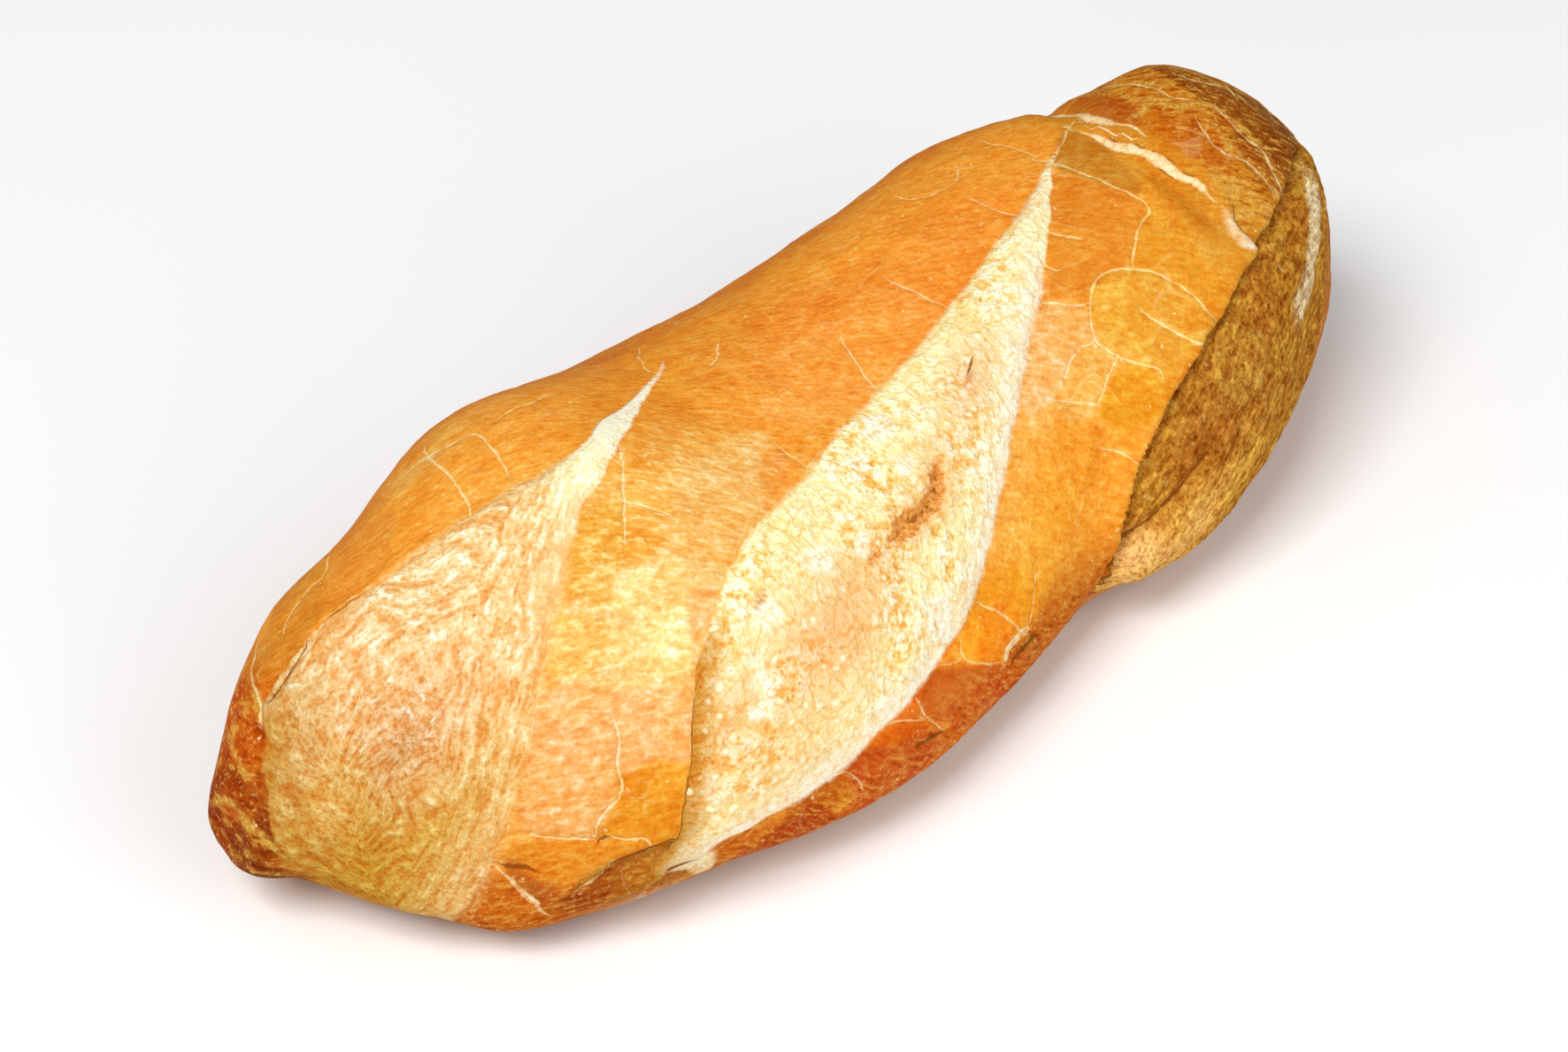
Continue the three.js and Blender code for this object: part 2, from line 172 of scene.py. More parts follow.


# plates of crust with a colour of their own: (outline, strength, colour); the pale plates of the band between the left
# and middle slashes are partly painted sheen, and one brown plate under the flap's crack is partly painted shadow
PATCHES = [
    ([(74, -3), (85, -11), (85, -5), (84, 7), (82, 17), (80, 18), (75, 10), (72, 3)], 0.9, (0.53, 0.21, 0.027)),
    ([(70, 0), (75, 10), (80, 19), (79, 21), (66, 31), (53, 32), (44, 27), (58, 11)], 0.9, (0.72, 0.272, 0.040)),
    ([(79, 22), (83, 28), (83, 42), (83, 48), (73, 53), (74, 46), (69, 34), (66, 31)], 0.9, (0.71, 0.29, 0.028)),
    ([(51, 33), (56, 30), (61, 30), (65, 31), (69, 35), (72, 41), (74, 46), (75, 51), (73, 54), (68, 53), (61, 56), (57, 55), (54, 51), (50, 47), (48, 41), (49, 36)], 0.95, (0.75, 0.37, 0.048)),
    ([(43, 27), (50, 33), (49, 36), (48, 41), (42, 40), (36, 43), (30, 46), (22, 44), (24, 37), (36, 30)], 0.9, (0.82, 0.43, 0.130)),
    ([(37, 43), (42, 41), (47, 41), (50, 47), (45, 49), (40, 54), (32, 52), (29, 48)], 0.8, (0.81, 0.43, 0.095)),
    ([(42, 51), (46, 49), (51, 49), (56, 52), (57, 56), (56, 59), (51, 61), (45, 61), (40, 56), (39, 54)], 0.95, (0.74, 0.315, 0.022)),
    ([(57, 56), (62, 56), (69, 53), (70, 54), (63, 59), (57, 64), (53, 66), (52, 62), (56, 59)], 0.8, (0.70, 0.28, 0.026)),
    ([(92, -19), (100, -18), (98, -8), (98, -1), (93, 0), (90, -9)], 0.9, (0.46, 0.15, 0.018)),
    ([(97, 0), (102, 1), (103, 9), (104, 17), (108, 21), (108, 28), (101, 23), (98, 19), (94, 12), (94, 3)], 0.9, (0.56, 0.20, 0.018)),
    ([(108, 6), (112, 10), (115, 15), (112, 15), (108, 10)], 0.9, (0.48, 0.14, 0.018)),
    ([(115, 18), (114, 25), (114, 31), (110, 34), (110, 30), (111, 24)], 0.9, (0.44, 0.125, 0.016)),
    ([(114, -7), (119, 0), (123, 7), (126, 14), (127, 19), (117, 28), (114, 30), (114, 25), (115, 17), (116, 11), (112, 3), (111, -4)], 0.9, (0.27, 0.095, 0.014)),
    ([(-111, 34), (-104, 42), (-100, 51), (-102, 59), (-114, 46), (-115, 41)], 0.9, (0.765, 0.40, 0.140)),
    ([(-116, 45), (-102, 59), (-103, 63), (-109, 68), (-120, 57), (-119, 49)], 0.9, (0.77, 0.40, 0.115)),
    ([(-101, 60), (-94, 65), (-90, 68), (-94, 82), (-99, 80), (-101, 75), (-108, 69), (-103, 63)], 0.9, (0.76, 0.335, 0.032)),
    ([(-122, 57), (-111, 67), (-101, 75), (-99, 81), (-115, 76), (-118, 76), (-123, 61)], 0.9, (0.71, 0.255, 0.025)),
    ([(-124, 60), (-120, 65), (-115, 74), (-118, 75), (-122, 67)], 0.8, (0.55, 0.14, 0.015)),
    ([(-115, 76), (-108, 75), (-99, 81), (-94, 83), (-96, 87), (-109, 80), (-111, 86), (-116, 79)], 0.9, (0.48, 0.215, 0.028)),
    ([(-107, 86), (-100, 90), (-90, 93), (-92, 95), (-96, 94), (-104, 91)], 0.9, (0.60, 0.33, 0.048)),
    ([(-72, 10), (-58, 15), (-75, 31), (-83, 31), (-81, 19)], 0.75, (0.85, 0.40, 0.068)),
    ([(-42, 12), (-33, 15), (-45, 32), (-64, 43), (-73, 35), (-59, 18)], 0.75, (0.86, 0.485, 0.135)),
    ([(-38, 18), (-34, 26), (-46, 35), (-50, 33)], 0.7, (0.85, 0.32, 0.062)),
    ([(-81, 30), (-64, 43), (-79, 61), (-101, 43), (-91, 34)], 0.8, (0.79, 0.56, 0.200)),
    ([(-79, 51), (-61, 40), (-56, 40), (-71, 50), (-82, 63), (-87, 68), (-84, 59)], 0.7, (0.82, 0.41, 0.125)),
    ([(16, -3), (26, 12), (12, 22), (-16, 22), (-28, 18), (-30, 9), (-14, -2)], 0.6, (0.88, 0.37, 0.088)),
    ([(29, -8), (49, -7), (64, -4), (50, 5), (29, 14), (27, 12), (19, -1)], 0.7, (0.86, 0.32, 0.058)),
    ([(-1, -16), (29, -11), (28, -8), (17, -3), (-13, -3), (-11, -15)], 0.6, (0.84, 0.265, 0.040)),
    ([(-98, 29), (-88, 26), (-84, 31), (-93, 35), (-101, 43), (-106, 38)], 0.7, (0.80, 0.58, 0.240)),
    ([(-82, 16), (-75, 19), (-79, 26), (-84, 30), (-91, 34), (-96, 27), (-93, 23), (-85, 17)], 0.75, (0.72, 0.36, 0.042)),
    ([(-81, 31), (-73, 35), (-75, 40), (-78, 46), (-84, 45), (-88, 39), (-90, 34), (-85, 33)], 0.85, (0.82, 0.58, 0.19)),
    ([(-94, 37), (-79, 47), (-82, 54), (-88, 52), (-97, 41)], 0.85, (0.82, 0.6, 0.2)),
    ([(-75, 41), (-70, 44), (-77, 50), (-83, 56), (-79, 47)], 0.85, (0.8, 0.4, 0.13)),
    ([(-100, 44), (-84, 58), (-86, 62), (-89, 68), (-95, 63), (-102, 60), (-99, 53), (-101, 49)], 0.85, (0.84, 0.44, 0.175)),
    ([(-109, 36), (-100, 43), (-101, 47), (-100, 52), (-102, 58), (-112, 47), (-113, 40)], 0.85, (0.83, 0.425, 0.165)),
    ([(-100, 27), (-91, 37), (-97, 40), (-100, 41), (-106, 35), (-103, 30)], 0.80, (0.8, 0.455, 0.085)),
    ([(-78, 24), (-73, 30), (-77, 33), (-83, 30)], 0.80, (0.76, 0.31, 0.044)),
    ([(-115, 43), (-103, 59), (-104, 63), (-109, 67), (-119, 57), (-119, 50)], 0.80, (0.83, 0.43, 0.150)),
    ([(-102, 60), (-90, 69), (-91, 74), (-94, 83), (-98, 80), (-106, 71), (-109, 68), (-103, 65)], 0.85, (0.72, 0.265, 0.02)),
    ([(-124.3, 59.7), (-121.4, 64.2), (-117.1, 71.2), (-114.9, 76.5), (-118.3, 75.2), (-121.7, 66.7)], 0.90, (0.5, 0.115, 0.014)),
    ([(-94.3, 82.7), (-99.0, 80.7), (-104.2, 78.1), (-110.4, 78.0), (-106.7, 87.0), (-100.1, 92.3), (-96.1, 90.4), (-95.2, 85.7)], 0.90, (0.44, 0.17, 0.016)),
    ([(-95.2, 85.7), (-98.8, 84.1), (-102.5, 85.1), (-98.7, 91.3), (-95.8, 89.8)], 0.80, (0.62, 0.36, 0.04)),
    ([(-97.8, 91.8), (-94.2, 92.2), (-89.2, 94.8), (-87.8, 102.3), (-92.8, 101.9), (-97.4, 99.8)], 0.90, (0.64, 0.36, 0.035)),
    ([(-12.6, 69.2), (0.1, 82.7), (2.1, 85.2), (-3.3, 85.0), (-7.1, 86.0), (-13.7, 83.0), (-18.6, 79.9), (-20.4, 76.0), (-20.0, 73.5)], 0.90, (0.86, 0.335, 0.026)),
    ([(7.7, 72.0), (4.0, 83.9), (0.5, 82.7), (-6.8, 73.4), (-12.2, 68.8), (-7.7, 64.0)], 0.80, (0.84, 0.33, 0.022)),
    ([(-21.4, 78.2), (-13.7, 83.2), (-5.7, 88.4), (-5.2, 93.5), (-15.2, 93.2), (-27.1, 92.5), (-33.1, 85.8), (-36.1, 79.8), (-36.0, 76.2)], 0.90, (0.66, 0.185, 0.015)),
    ([(-32.3, 87.1), (-28.4, 92.8), (-36.9, 91.7), (-44.4, 92.2), (-51.5, 95.9), (-54.3, 90.1), (-45.0, 82.9)], 0.85, (0.66, 0.175, 0.012)),
    ([(-44.4, 91.5), (-36.9, 91.7), (-28.0, 93.0), (-26.2, 95.4), (-33.4, 95.4), (-40.9, 95.2)], 0.90, (0.44, 0.105, 0.01)),
    ([(-59.5, 89.5), (-55.1, 90.6), (-52.4, 94.0), (-51.5, 97.2), (-56.8, 97.2), (-61.0, 97.8), (-65.9, 97.1), (-70.7, 98.0), (-67.2, 92.7)], 0.85, (0.46, 0.135, 0.016)),
    ([(-3.6, 87.7), (-1.4, 86.8), (3.0, 86.3), (8.0, 89.2), (6.1, 92.1), (0.8, 91.6)], 0.90, (0.53, 0.16, 0.035)),
    ([(95.3, 32.1), (95.8, 34.9), (95.8, 37.6), (96.5, 40.5), (96.5, 42.4), (92.2, 40.8), (92.1, 37.6), (93.8, 34.0)], 0.90, (0.8, 0.56, 0.27)),
    ([(-154.3, -13.4), (-155.0, -0.3), (-153.4, 10.1), (-152.2, 17.8), (-150.5, 26.3), (-148.2, 42.7), (-149.9, 39.3), (-153.4, 21.7), (-154.6, -17.5)], 0.85, (0.53, 0.135, 0.012)),
    ([(-150.6, -1.7), (-148.2, 1.6), (-148.8, 5.4), (-151.8, 11.6), (-153.2, 9.5), (-152.5, 2.9)], 0.70, (0.6, 0.165, 0.014)),
    ([(-153.6, 24.6), (-152.9, 23.1), (-149.3, 38.3), (-147.0, 49.2), (-150.8, 35.9), (-152.9, 27.0)], 0.90, (0.17, 0.06, 0.01)),
    ([(124.1, 1.3), (132.7, 6.2), (133.1, 14.9), (123.2, 23.1), (112.7, 31.3), (114.2, 26.4), (115.8, 19.6), (115.2, 13.7), (113.0, 8.2)], 0.85, (0.2, 0.072, 0.01)),
    ([(-125, -34), (-114, -36), (-128, -8), (-134, -4), (-142, 0), (-146, 2), (-143, -6), (-134, -20)], 0.75, (0.64, 0.245, 0.033)),
    ([(-112, -36), (-104, -21), (-113, -9), (-121, -5), (-127, -9), (-120, -22)], 0.45, (0.66, 0.235, 0.050)),
    ([(-141, -22), (-147, 5), (-152, 12), (-151, -3)], 0.80, (0.53, 0.150, 0.020)),
    ([(-148, -20), (-154, -11), (-155, 0), (-151, -7)], 0.80, (0.44, 0.130, 0.014)),
    ([(-155, -6), (-152, 11), (-151, 21), (-154, -23)], 0.85, (0.28, 0.056, 0.009)),
    # painted shadow: red-brown crust, darkened further as shade under the flap's crack line
    ([(-116, 76), (-110, 78), (-106, 77), (-99, 80), (-106, 84), (-108, 89), (-115, 84)], 0.85, (0.34, 0.070, 0.012)),
    ([(-106, 78.5), (-95, 84), (-96, 87), (-101, 91.5), (-106, 90)], 0.85, (0.42, 0.145, 0.020)),
    ([(-91, 93), (-100, 93), (-106, 90), (-106, 95), (-95, 101), (-89, 99)], 0.85, (0.34, 0.085, 0.012)),
    ([(-124, 61), (-116, 75), (-117, 81), (-122, 68)], 0.75, (0.40, 0.098, 0.018)),
    ([(-29, 76), (-4, 89), (-7, 97), (-22, 95), (-35, 82)], 0.80, (0.51, 0.132, 0.028)),
    ([(-51, 86), (-28, 92), (-32, 98), (-50, 104), (-56, 90)], 0.80, (0.50, 0.128, 0.035)),
    ([(-81, 104), (-64, 94), (-57, 104), (-75, 106)], 0.85, (0.38, 0.066, 0.012)),
    ([(97, -13), (98, -1), (94, 3), (91, -7)], 0.80, (0.45, 0.125, 0.018)),
    ([(100, 3), (107, 8), (107, 21), (100, 26), (96, 16)], 0.85, (0.50, 0.150, 0.018)),
    ([(112, -12), (123, 0), (125, 21), (113, 32), (116, 16), (110, 5)], 0.85, (0.29, 0.092, 0.011)),
    ([(109, 17), (116, 17), (114, 31), (109, 35), (107, 26)], 0.80, (0.36, 0.110, 0.014)),
    ([(98, 22), (105, 32), (106, 38), (98, 40), (96, 33)], 0.75, (0.58, 0.290, 0.045)),
    ([(92, 30), (92, 38), (84, 43), (83, 34)], 0.50, (0.66, 0.31, 0.050)),
]


# ---------------------------------------------------------------------------
# small tools
# ---------------------------------------------------------------------------
def smooth(a, b, x):
    q = np.clip((x - a) / (b - a), 0.0, 1.0)
    return q * q * (3 - 2 * q)


def along(values, t):
    v = np.asarray(values, float)
    n = len(v) - 1
    f = np.clip(t, 0, 1) * n
    i = np.minimum(f.astype(int), n - 1)
    u = f - i
    a, b, c, d = v[np.maximum(i - 1, 0)], v[i], v[i + 1], v[np.minimum(i + 2, n)]
    return 0.5 * (2 * b + (c - a) * u + (2 * a - 5 * b + 4 * c - d) * u * u + (3 * b - a - 3 * c + d) * u ** 3)


def hash3(ix, iy, iz, seed):
    h = (ix.astype(np.int64) * 374761393 + iy.astype(np.int64) * 668265263
         + iz.astype(np.int64) * 1440662683 + seed * 1274126177) & 0xFFFFFFFF
    h = ((h ^ (h >> 13)) * 1274126177) & 0xFFFFFFFF
    h = ((h ^ (h >> 15)) * 2246822519) & 0xFFFFFFFF
    return (h ^ (h >> 16)) & 0xFFFFFFFF


def noise(p, seed=0):
    """Gradient noise at the points p (..., 3), about -1 to 1."""
    i = np.floor(p).astype(np.int64)
    f = p - i
    w = f * f * f * (f * (f * 6 - 15) + 10)
    out = np.zeros(p.shape[:-1])
    for dx in (0, 1):
        for dy in (0, 1):
            for dz in (0, 1):
                h = hash3(i[..., 0] + dx, i[..., 1] + dy, i[..., 2] + dz, seed)
                gx = ((h & 1023) / 511.5) - 1
                gy = (((h >> 10) & 1023) / 511.5) - 1
                gz = (((h >> 20) & 1023) / 511.5) - 1
                g = gx * (f[..., 0] - dx) + gy * (f[..., 1] - dy) + gz * (f[..., 2] - dz)
                k = ((w[..., 0] if dx else 1 - w[..., 0]) * (w[..., 1] if dy else 1 - w[..., 1])
                     * (w[..., 2] if dz else 1 - w[..., 2]))
                out += g * k
    return out * 1.5


def fbm(p, octaves=3, seed=0, gain=0.5):
    out, amp, total = 0.0, 1.0, 0.0
    for k in range(octaves):
        out = out + amp * noise(p * 2.03 ** k + 17.3 * k, seed + 7 * k)
        total += amp
        amp *= gain
    return out / total


def cells(p, seed=0):
    """Nearest and second nearest distance to one random point in each unit cell, and that point's number."""
    i = np.floor(p).astype(np.int64)
    d1 = np.full(p.shape[:-1], 9.0)
    d2 = np.full(p.shape[:-1], 9.0)
    ident = np.zeros(p.shape[:-1], np.int64)
    for dx in (-1, 0, 1):
        for dy in (-1, 0, 1):
            for dz in (-1, 0, 1):
                c = (i[..., 0] + dx, i[..., 1] + dy, i[..., 2] + dz)
                h = hash3(*c, seed)
                q = np.stack([c[0] + (h & 1023) / 1023.0, c[1] + ((h >> 10) & 1023) / 1023.0,
                              c[2] + ((h >> 20) & 1023) / 1023.0], -1)
                d = np.linalg.norm(p - q, axis=-1)
                near = d < d1
                d2 = np.where(near, d1, np.minimum(d2, d))
                ident = np.where(near, h, ident)
                d1 = np.where(near, d, d1)
    return d1, d2, ident


# ---------------------------------------------------------------------------
# the plain body
# ---------------------------------------------------------------------------
def closing(t, shape):
    a = np.clip(np.abs(t), 0, 1)
    near, far = shape
    return np.where(t < 0, np.clip(1 - a ** near[0], 0, 1) ** (1 / near[1]),
                    np.clip(1 - a ** far[0], 0, 1) ** (1 / far[1]))


def body(t, angle):
    share = (t + 1) / 2
    height = along(SECTION_HEIGHT, share)
    waist = WIDEST_AT * height
    top = waist + (height - waist) * closing(t, TOP_CLOSE)
    bottom = waist * (1 - closing(t, BOTTOM_CLOSE))
    width = along(HALF_WIDTH, share) * closing(t, PLAN_CLOSE)
    centre = along(CENTRE_LINE, share)
    c, s = np.cos(angle)[None, :], np.sin(angle)[None, :]
    up = s >= 0
    y = centre[:, None] + width[:, None] * np.where(up, c, np.sign(c) * np.abs(c) ** (2 / FOOT_POWER))
    z_up = waist[:, None] + (top - waist)[:, None] * np.abs(s) ** ARCH_POWER
    z_low = waist[:, None] - (waist - bottom)[:, None] * FOOT_DROP * np.abs(s) ** (2 / FOOT_POWER)
    z = np.where(up, z_up, np.maximum(z_low, bottom[:, None]))
    x = np.repeat((t * LOAF_LENGTH / 2)[:, None], len(angle), 1)
    return np.stack([x, y, z], -1)


def even_stations(count):
    """Values of t whose rings lie evenly along the loaf's outline, closer together round its ends."""
    t = np.sin(np.linspace(-np.pi / 2, np.pi / 2, 6001))
    share = (t + 1) / 2
    w = along(HALF_WIDTH, share) * closing(t, PLAN_CLOSE)
    h = along(SECTION_HEIGHT, share) * closing(t, TOP_CLOSE) * 0.8
    step = np.hypot(np.diff(t) * LOAF_LENGTH / 2, np.maximum(np.abs(np.diff(w)), np.abs(np.diff(h))))
    run = np.concatenate([[0], np.cumsum(step)])
    return np.interp(np.linspace(0, run[-1], count), run, t)


def round_angles():
    """Angles round a ring, starting at the back: fine over the crust, coarse under the flat."""
    q = math.radians(57)
    upper = np.linspace(0, np.pi, 193)[:-1]
    front_low = np.linspace(np.pi, np.pi + q, 25)[:-1]
    flat = np.linspace(np.pi + q, 2 * np.pi - q, 13)[:-1]
    back_low = np.linspace(2 * np.pi - q, 2 * np.pi, 25)[:-1]
    return np.concatenate([upper, front_low, flat, back_low]), 96


T = even_stations(396)
ANGLES, CROWN = round_angles()
NU, NV = len(T), len(ANGLES)
P = body(T, ANGLES)

seg = np.linalg.norm(np.roll(P, -1, 1) - P, axis=-1)
cum = np.concatenate([np.zeros((NU, 1)), np.cumsum(seg, 1)], 1)
S = cum[:, :-1] - cum[:, CROWN:CROWN + 1]
S = np.where(S > cum[:, -1:] / 2, S - cum[:, -1:], S)
X = P[..., 0]

along_x = np.gradient(P, axis=0)
along_x /= np.linalg.norm(along_x, axis=-1, keepdims=True) + 1e-9
round_s = np.roll(P, -1, 1) - np.roll(P, 1, 1)
round_s /= np.linalg.norm(round_s, axis=-1, keepdims=True) + 1e-9
normal = np.cross(along_x, round_s)
normal /= np.linalg.norm(normal, axis=-1, keepdims=True) + 1e-9
if (normal * (P - np.array([0, -10, 35.0]))).sum() < 0:
    normal = -normal



def on_body(pts):
    """Points (x, girth) as points in space on the plain body."""
    out = []
    for x, g in pts:
        at = np.interp(x / (LOAF_LENGTH / 2), T, np.arange(NU))
        i = int(min(at, NU - 2))
        two = []
        for row in (i, i + 1):
            order = np.argsort(S[row])
            two.append([np.interp(g, S[row][order], P[row][order][:, c]) for c in range(3)])
        out.append(np.array(two[0]) * (1 - at + i) + np.array(two[1]) * (at - i))
    return np.array(out)


def line_fields(lines, where, seed):
    """Signed distance, plain distance and half-width of the nearest of the lines at the points where."""
    flat = where.reshape(-1, 3)
    facing = normal.reshape(-1, 3)
    best = np.full(len(flat), 50.0)
    signed = np.full(len(flat), 50.0)
    width = np.zeros(len(flat))
    for number, (w, pts) in enumerate(lines):
        pts = np.array(pts, float)
        n = len(pts) - 1
        t = np.linspace(0, 1, n * 3 + 1)
        run = on_body(np.stack([along(pts[:, 0], t), along(pts[:, 1], t)], 1))
        lo, hi = run.min(0) - 8, run.max(0) + 8
        near = np.where(((flat > lo) & (flat < hi)).all(1))[0]
        if not len(near):
            continue
        q0, face = flat[near], facing[near]
        m = len(run) - 1
        for k in range(m):
            d = run[k + 1] - run[k]
            q = np.clip((q0 - run[k]) @ d / ((d ** 2).sum() + 1e-9), 0, 1)
            off = q0 - run[k] - q[:, None] * d
            dist = np.linalg.norm(off, axis=1)
            share = (k + q) / m
            taper = 0.35 + 0.65 * smooth(0, 0.18, share) * smooth(1, 0.82, share)
            taper = taper * (0.85 + (0.30 if w < 0.7 else 0.15) * np.sin(share * m * (1.9 if w < 0.7 else 0.8) + number * 2.1 + seed))
            sign = np.where((np.cross(d, off) * face).sum(1) >= 0, 1.0, -1.0)
            closer = dist < best[near]
            idx = near[closer]
            best[idx] = dist[closer]
            signed[idx] = (dist * sign)[closer]
            width[idx] = (w * taper)[closer]
    shape = where.shape[:-1]
    return signed.reshape(shape), best.reshape(shape), width.reshape(shape)


def patch_distance(pts):
    """Distance inside the outline given as (x, girth) points, less than 0 outside."""
    pts = np.array(pts, float)
    t = np.linspace(0, 1, len(pts) * 4 + 1)[:-1]
    ring = np.concatenate([pts[-1:], pts, pts[:2]])
    f = t * len(pts)
    i = f.astype(int)
    u = (f - i)[:, None]
    a, b, c, d = ring[i], ring[i + 1], ring[i + 2], ring[(i + 3) % len(ring)]
    smooth_ring = 0.5 * (2 * b + (c - a) * u + (2 * a - 5 * b + 4 * c - d) * u * u + (3 * b - a - 3 * c + d) * u ** 3)
    smooth_ring = 0.55 * smooth_ring + 0.45 * (b * (1 - u) + c * u)
    lo, hi = smooth_ring.min(0) - 3, smooth_ring.max(0) + 3
    near = (patch_x > lo[0]) & (patch_x < hi[0]) & (patch_s > lo[1]) & (patch_s < hi[1])
    px, ps = patch_x[near], patch_s[near]
    dist = np.full(px.shape, 99.0)
    odd = np.zeros(px.shape, bool)
    for k in range(len(smooth_ring)):
        p0, p1 = smooth_ring[k], smooth_ring[(k + 1) % len(smooth_ring)]
        e = p1 - p0
        q = np.clip(((px - p0[0]) * e[0] + (ps - p0[1]) * e[1]) / ((e ** 2).sum() + 1e-9), 0, 1)
        dist = np.minimum(dist, np.hypot(px - p0[0] - q * e[0], ps - p0[1] - q * e[1]))
        cross = (p0[1] > ps) != (p1[1] > ps)
        at = p0[0] + (ps - p0[1]) * e[0] / np.where(abs(e[1]) < 1e-9, 1e-9, e[1])
        odd ^= cross & (px < at)
    out = np.full(patch_x.shape, -50.0)
    out[near] = np.where(odd, dist, -dist)
    return out


def patch(pts, soft=0.7):
    """1 inside the outline, 0 outside."""
    return smooth(-soft, soft, patch_distance(pts))


# ---------------------------------------------------------------------------
# relief
# ---------------------------------------------------------------------------
low_fade = smooth(2.0, 14.0, P[..., 2])
end_fade = smooth(0, 0.012, 1 - np.abs(T))[:, None]

wobble_x = X + 0.9 * noise(P / 7.0, 3)
wobble_s = S + 0.9 * noise(P / 7.0, 5)
wobble_p = P + 0.55 * np.stack([noise(P / 5.0, 91), noise(P / 5.0, 92), noise(P / 5.0, 93)], -1)
patch_x = X + 0.7 * noise(P / 5.0, 94)
patch_s = S + 0.7 * noise(P / 5.0, 95)

H = np.zeros_like(X)
slide = np.zeros_like(P)
inside = []          # signed distance inside each slash
share_of = []        # share along each slash
edge_soft = np.full_like(X, 0.45)
painted_lip_shadow = np.zeros_like(X)
to_lower_edge = []
to_upper_edge = []
for k, q in enumerate(SLASHES):
    A, B = np.array(q["start"]), np.array(q["end"])
    L = np.hypot(*(B - A))
    d = (B - A) / L
    rx, rs = wobble_x - A[0], wobble_s - A[1]
    a = (rx * d[0] + rs * d[1]) / L
    n = -rx * d[1] + rs * d[0]
    to_upper = along(q["upper"], a) - n
    to_lower = n + along(q["lower"], a)
    width = to_upper + to_lower
    fade = smooth(0.0, 0.06, a) * smooth(1.0, 0.94, a)
    scale = np.clip(width / 16, 0, 1)
    fill = np.clip(4 * to_upper * to_lower / np.maximum(width, 4) ** 2, 0, 1)
    soft = 0.9
    mask = smooth(-soft, soft, to_upper) * smooth(-soft, soft, to_lower) * fade
    at_upper = np.clip(to_lower / np.maximum(width, 4), 0, 1)
    step_up = np.interp(a, *q["step_upper"])
    step_low = np.interp(a, *q["step_lower"])
    groove = q["depth"] * (step_low + (step_up - step_low) * smooth(0.25, 0.75, at_upper))
    H += mask * scale * (-groove + (groove + q["dome"]) * fill ** 0.7)
    lip = q["rim"] + (q["lip"] - q["rim"]) * smooth(q["span"][0] - 0.12, q["span"][0], a) * smooth(q["span"][1] + 0.02, q["span"][1] - 0.1, a)
    by_upper = np.exp(-np.maximum(-to_upper, 0) ** 2 / RIM_REACH ** 2) * (to_lower > 0)
    by_lower = np.exp(-np.maximum(-to_lower, 0) ** 2 / RIM_REACH ** 2) * (to_upper > 0)
    sharp_up = smooth(soft, -soft, to_upper) + (1 - np.clip(step_up, 0, 1)) * smooth(-soft, soft, to_upper) * np.exp(-np.maximum(to_upper, 0) ** 2 / 30.0)
    sharp_low = smooth(soft, -soft, to_lower) + (1 - np.clip(step_low, 0, 1)) * smooth(-soft, soft, to_lower) * np.exp(-np.maximum(to_lower, 0) ** 2 / 30.0)
    H += fade * scale * (lip * by_upper * sharp_up + 0.5 * q["rim"] * by_lower * sharp_low)
    # the lip leans over the crumb
    lean = fade * scale * step_up * (lip - q["rim"]) * 0.9 * np.exp(-np.maximum(-to_upper, 0) ** 2 / 6.0) * smooth(2.0, -0.5, to_upper) * (to_lower > 0)
    inward = -(-d[1] * along_x + d[0] * round_s)
    slide += inward * lean[..., None]
    dist = np.minimum(np.minimum(to_upper, to_lower), np.minimum(a * L, (1 - a) * L))
    inside.append(dist)
    share_of.append(a)
    to_lower_edge.append(to_lower)
    to_upper_edge.append(to_upper)

IN1, IN2, IN3 = inside
TAIL = [(-98.8, 86.0), (-95.0, 84.4), (-91.8, 84.6), (-87.7, 89.6), (-83.5, 100.5), (-84.0, 104.0), (-86.3, 103.4), (-91.1, 95.8), (-94.3, 92.6)]
IN2 = np.minimum(np.maximum(IN2, patch_distance(TAIL)), P[..., 2] - 3.0 + 1.5 * noise(P / 6.0, 98))
NEAR_TAIL = [(-149.5, 30), (-148.2, 42), (-146.8, 54), (-143, 70), (-136, 84), (-129.5, 86), (-129.8, 74), (-130.4, 66), (-127.6, 59), (-126, 50), (-138, 34)]
IN1 = np.maximum(IN1, np.minimum(patch_distance(NEAR_TAIL), P[..., 2] - 9.0 + 2.0 * noise(P / 6.0, 99)))
q = SLASHES[2]
below = 7.0 * smooth(0.25, 0.40, share_of[2]) * smooth(1.0, 0.85, share_of[2])
IN3 = np.minimum(np.minimum(to_upper_edge[2], to_lower_edge[2] + below), np.minimum(share_of[2], 1 - share_of[2]) * math.hypot(107.0, 89.0))
near_upper = [to_upper_edge[k] < to_lower_edge[k] for k in range(3)]
edge_soft = np.where(patch_distance(TAIL) > -5, 1.0, edge_soft)
# where an edge is a soft blend of crust into crumb, and where it gets a dark line of painted shadow under the crust lip
edge_soft = np.where(~near_upper[1] & (np.abs(IN2) < 8), np.maximum(edge_soft, 0.45 + 0.55 * smooth(0.15, 0.3, share_of[1]) * smooth(0.98, 0.88, share_of[1])), edge_soft)
for k, lo, hi, amount in ((1, 0.05, 0.70, 0.7), (0, 0.36, 0.53, 2.6)):
    band = smooth(lo - 0.05, lo + 0.05, share_of[k]) * smooth(hi + 0.08, hi - 0.08, share_of[k])
    edge_soft = np.where(near_upper[k] & (np.abs(inside[k]) < 8), np.maximum(edge_soft, 0.45 + amount * band), edge_soft)
band = smooth(0.44, 0.58, share_of[0]) * smooth(0.98, 0.90, share_of[0])
edge_soft = np.where(~near_upper[0] & (np.abs(IN1) < 10), np.maximum(edge_soft, 0.45 + 3.0 * band), edge_soft)
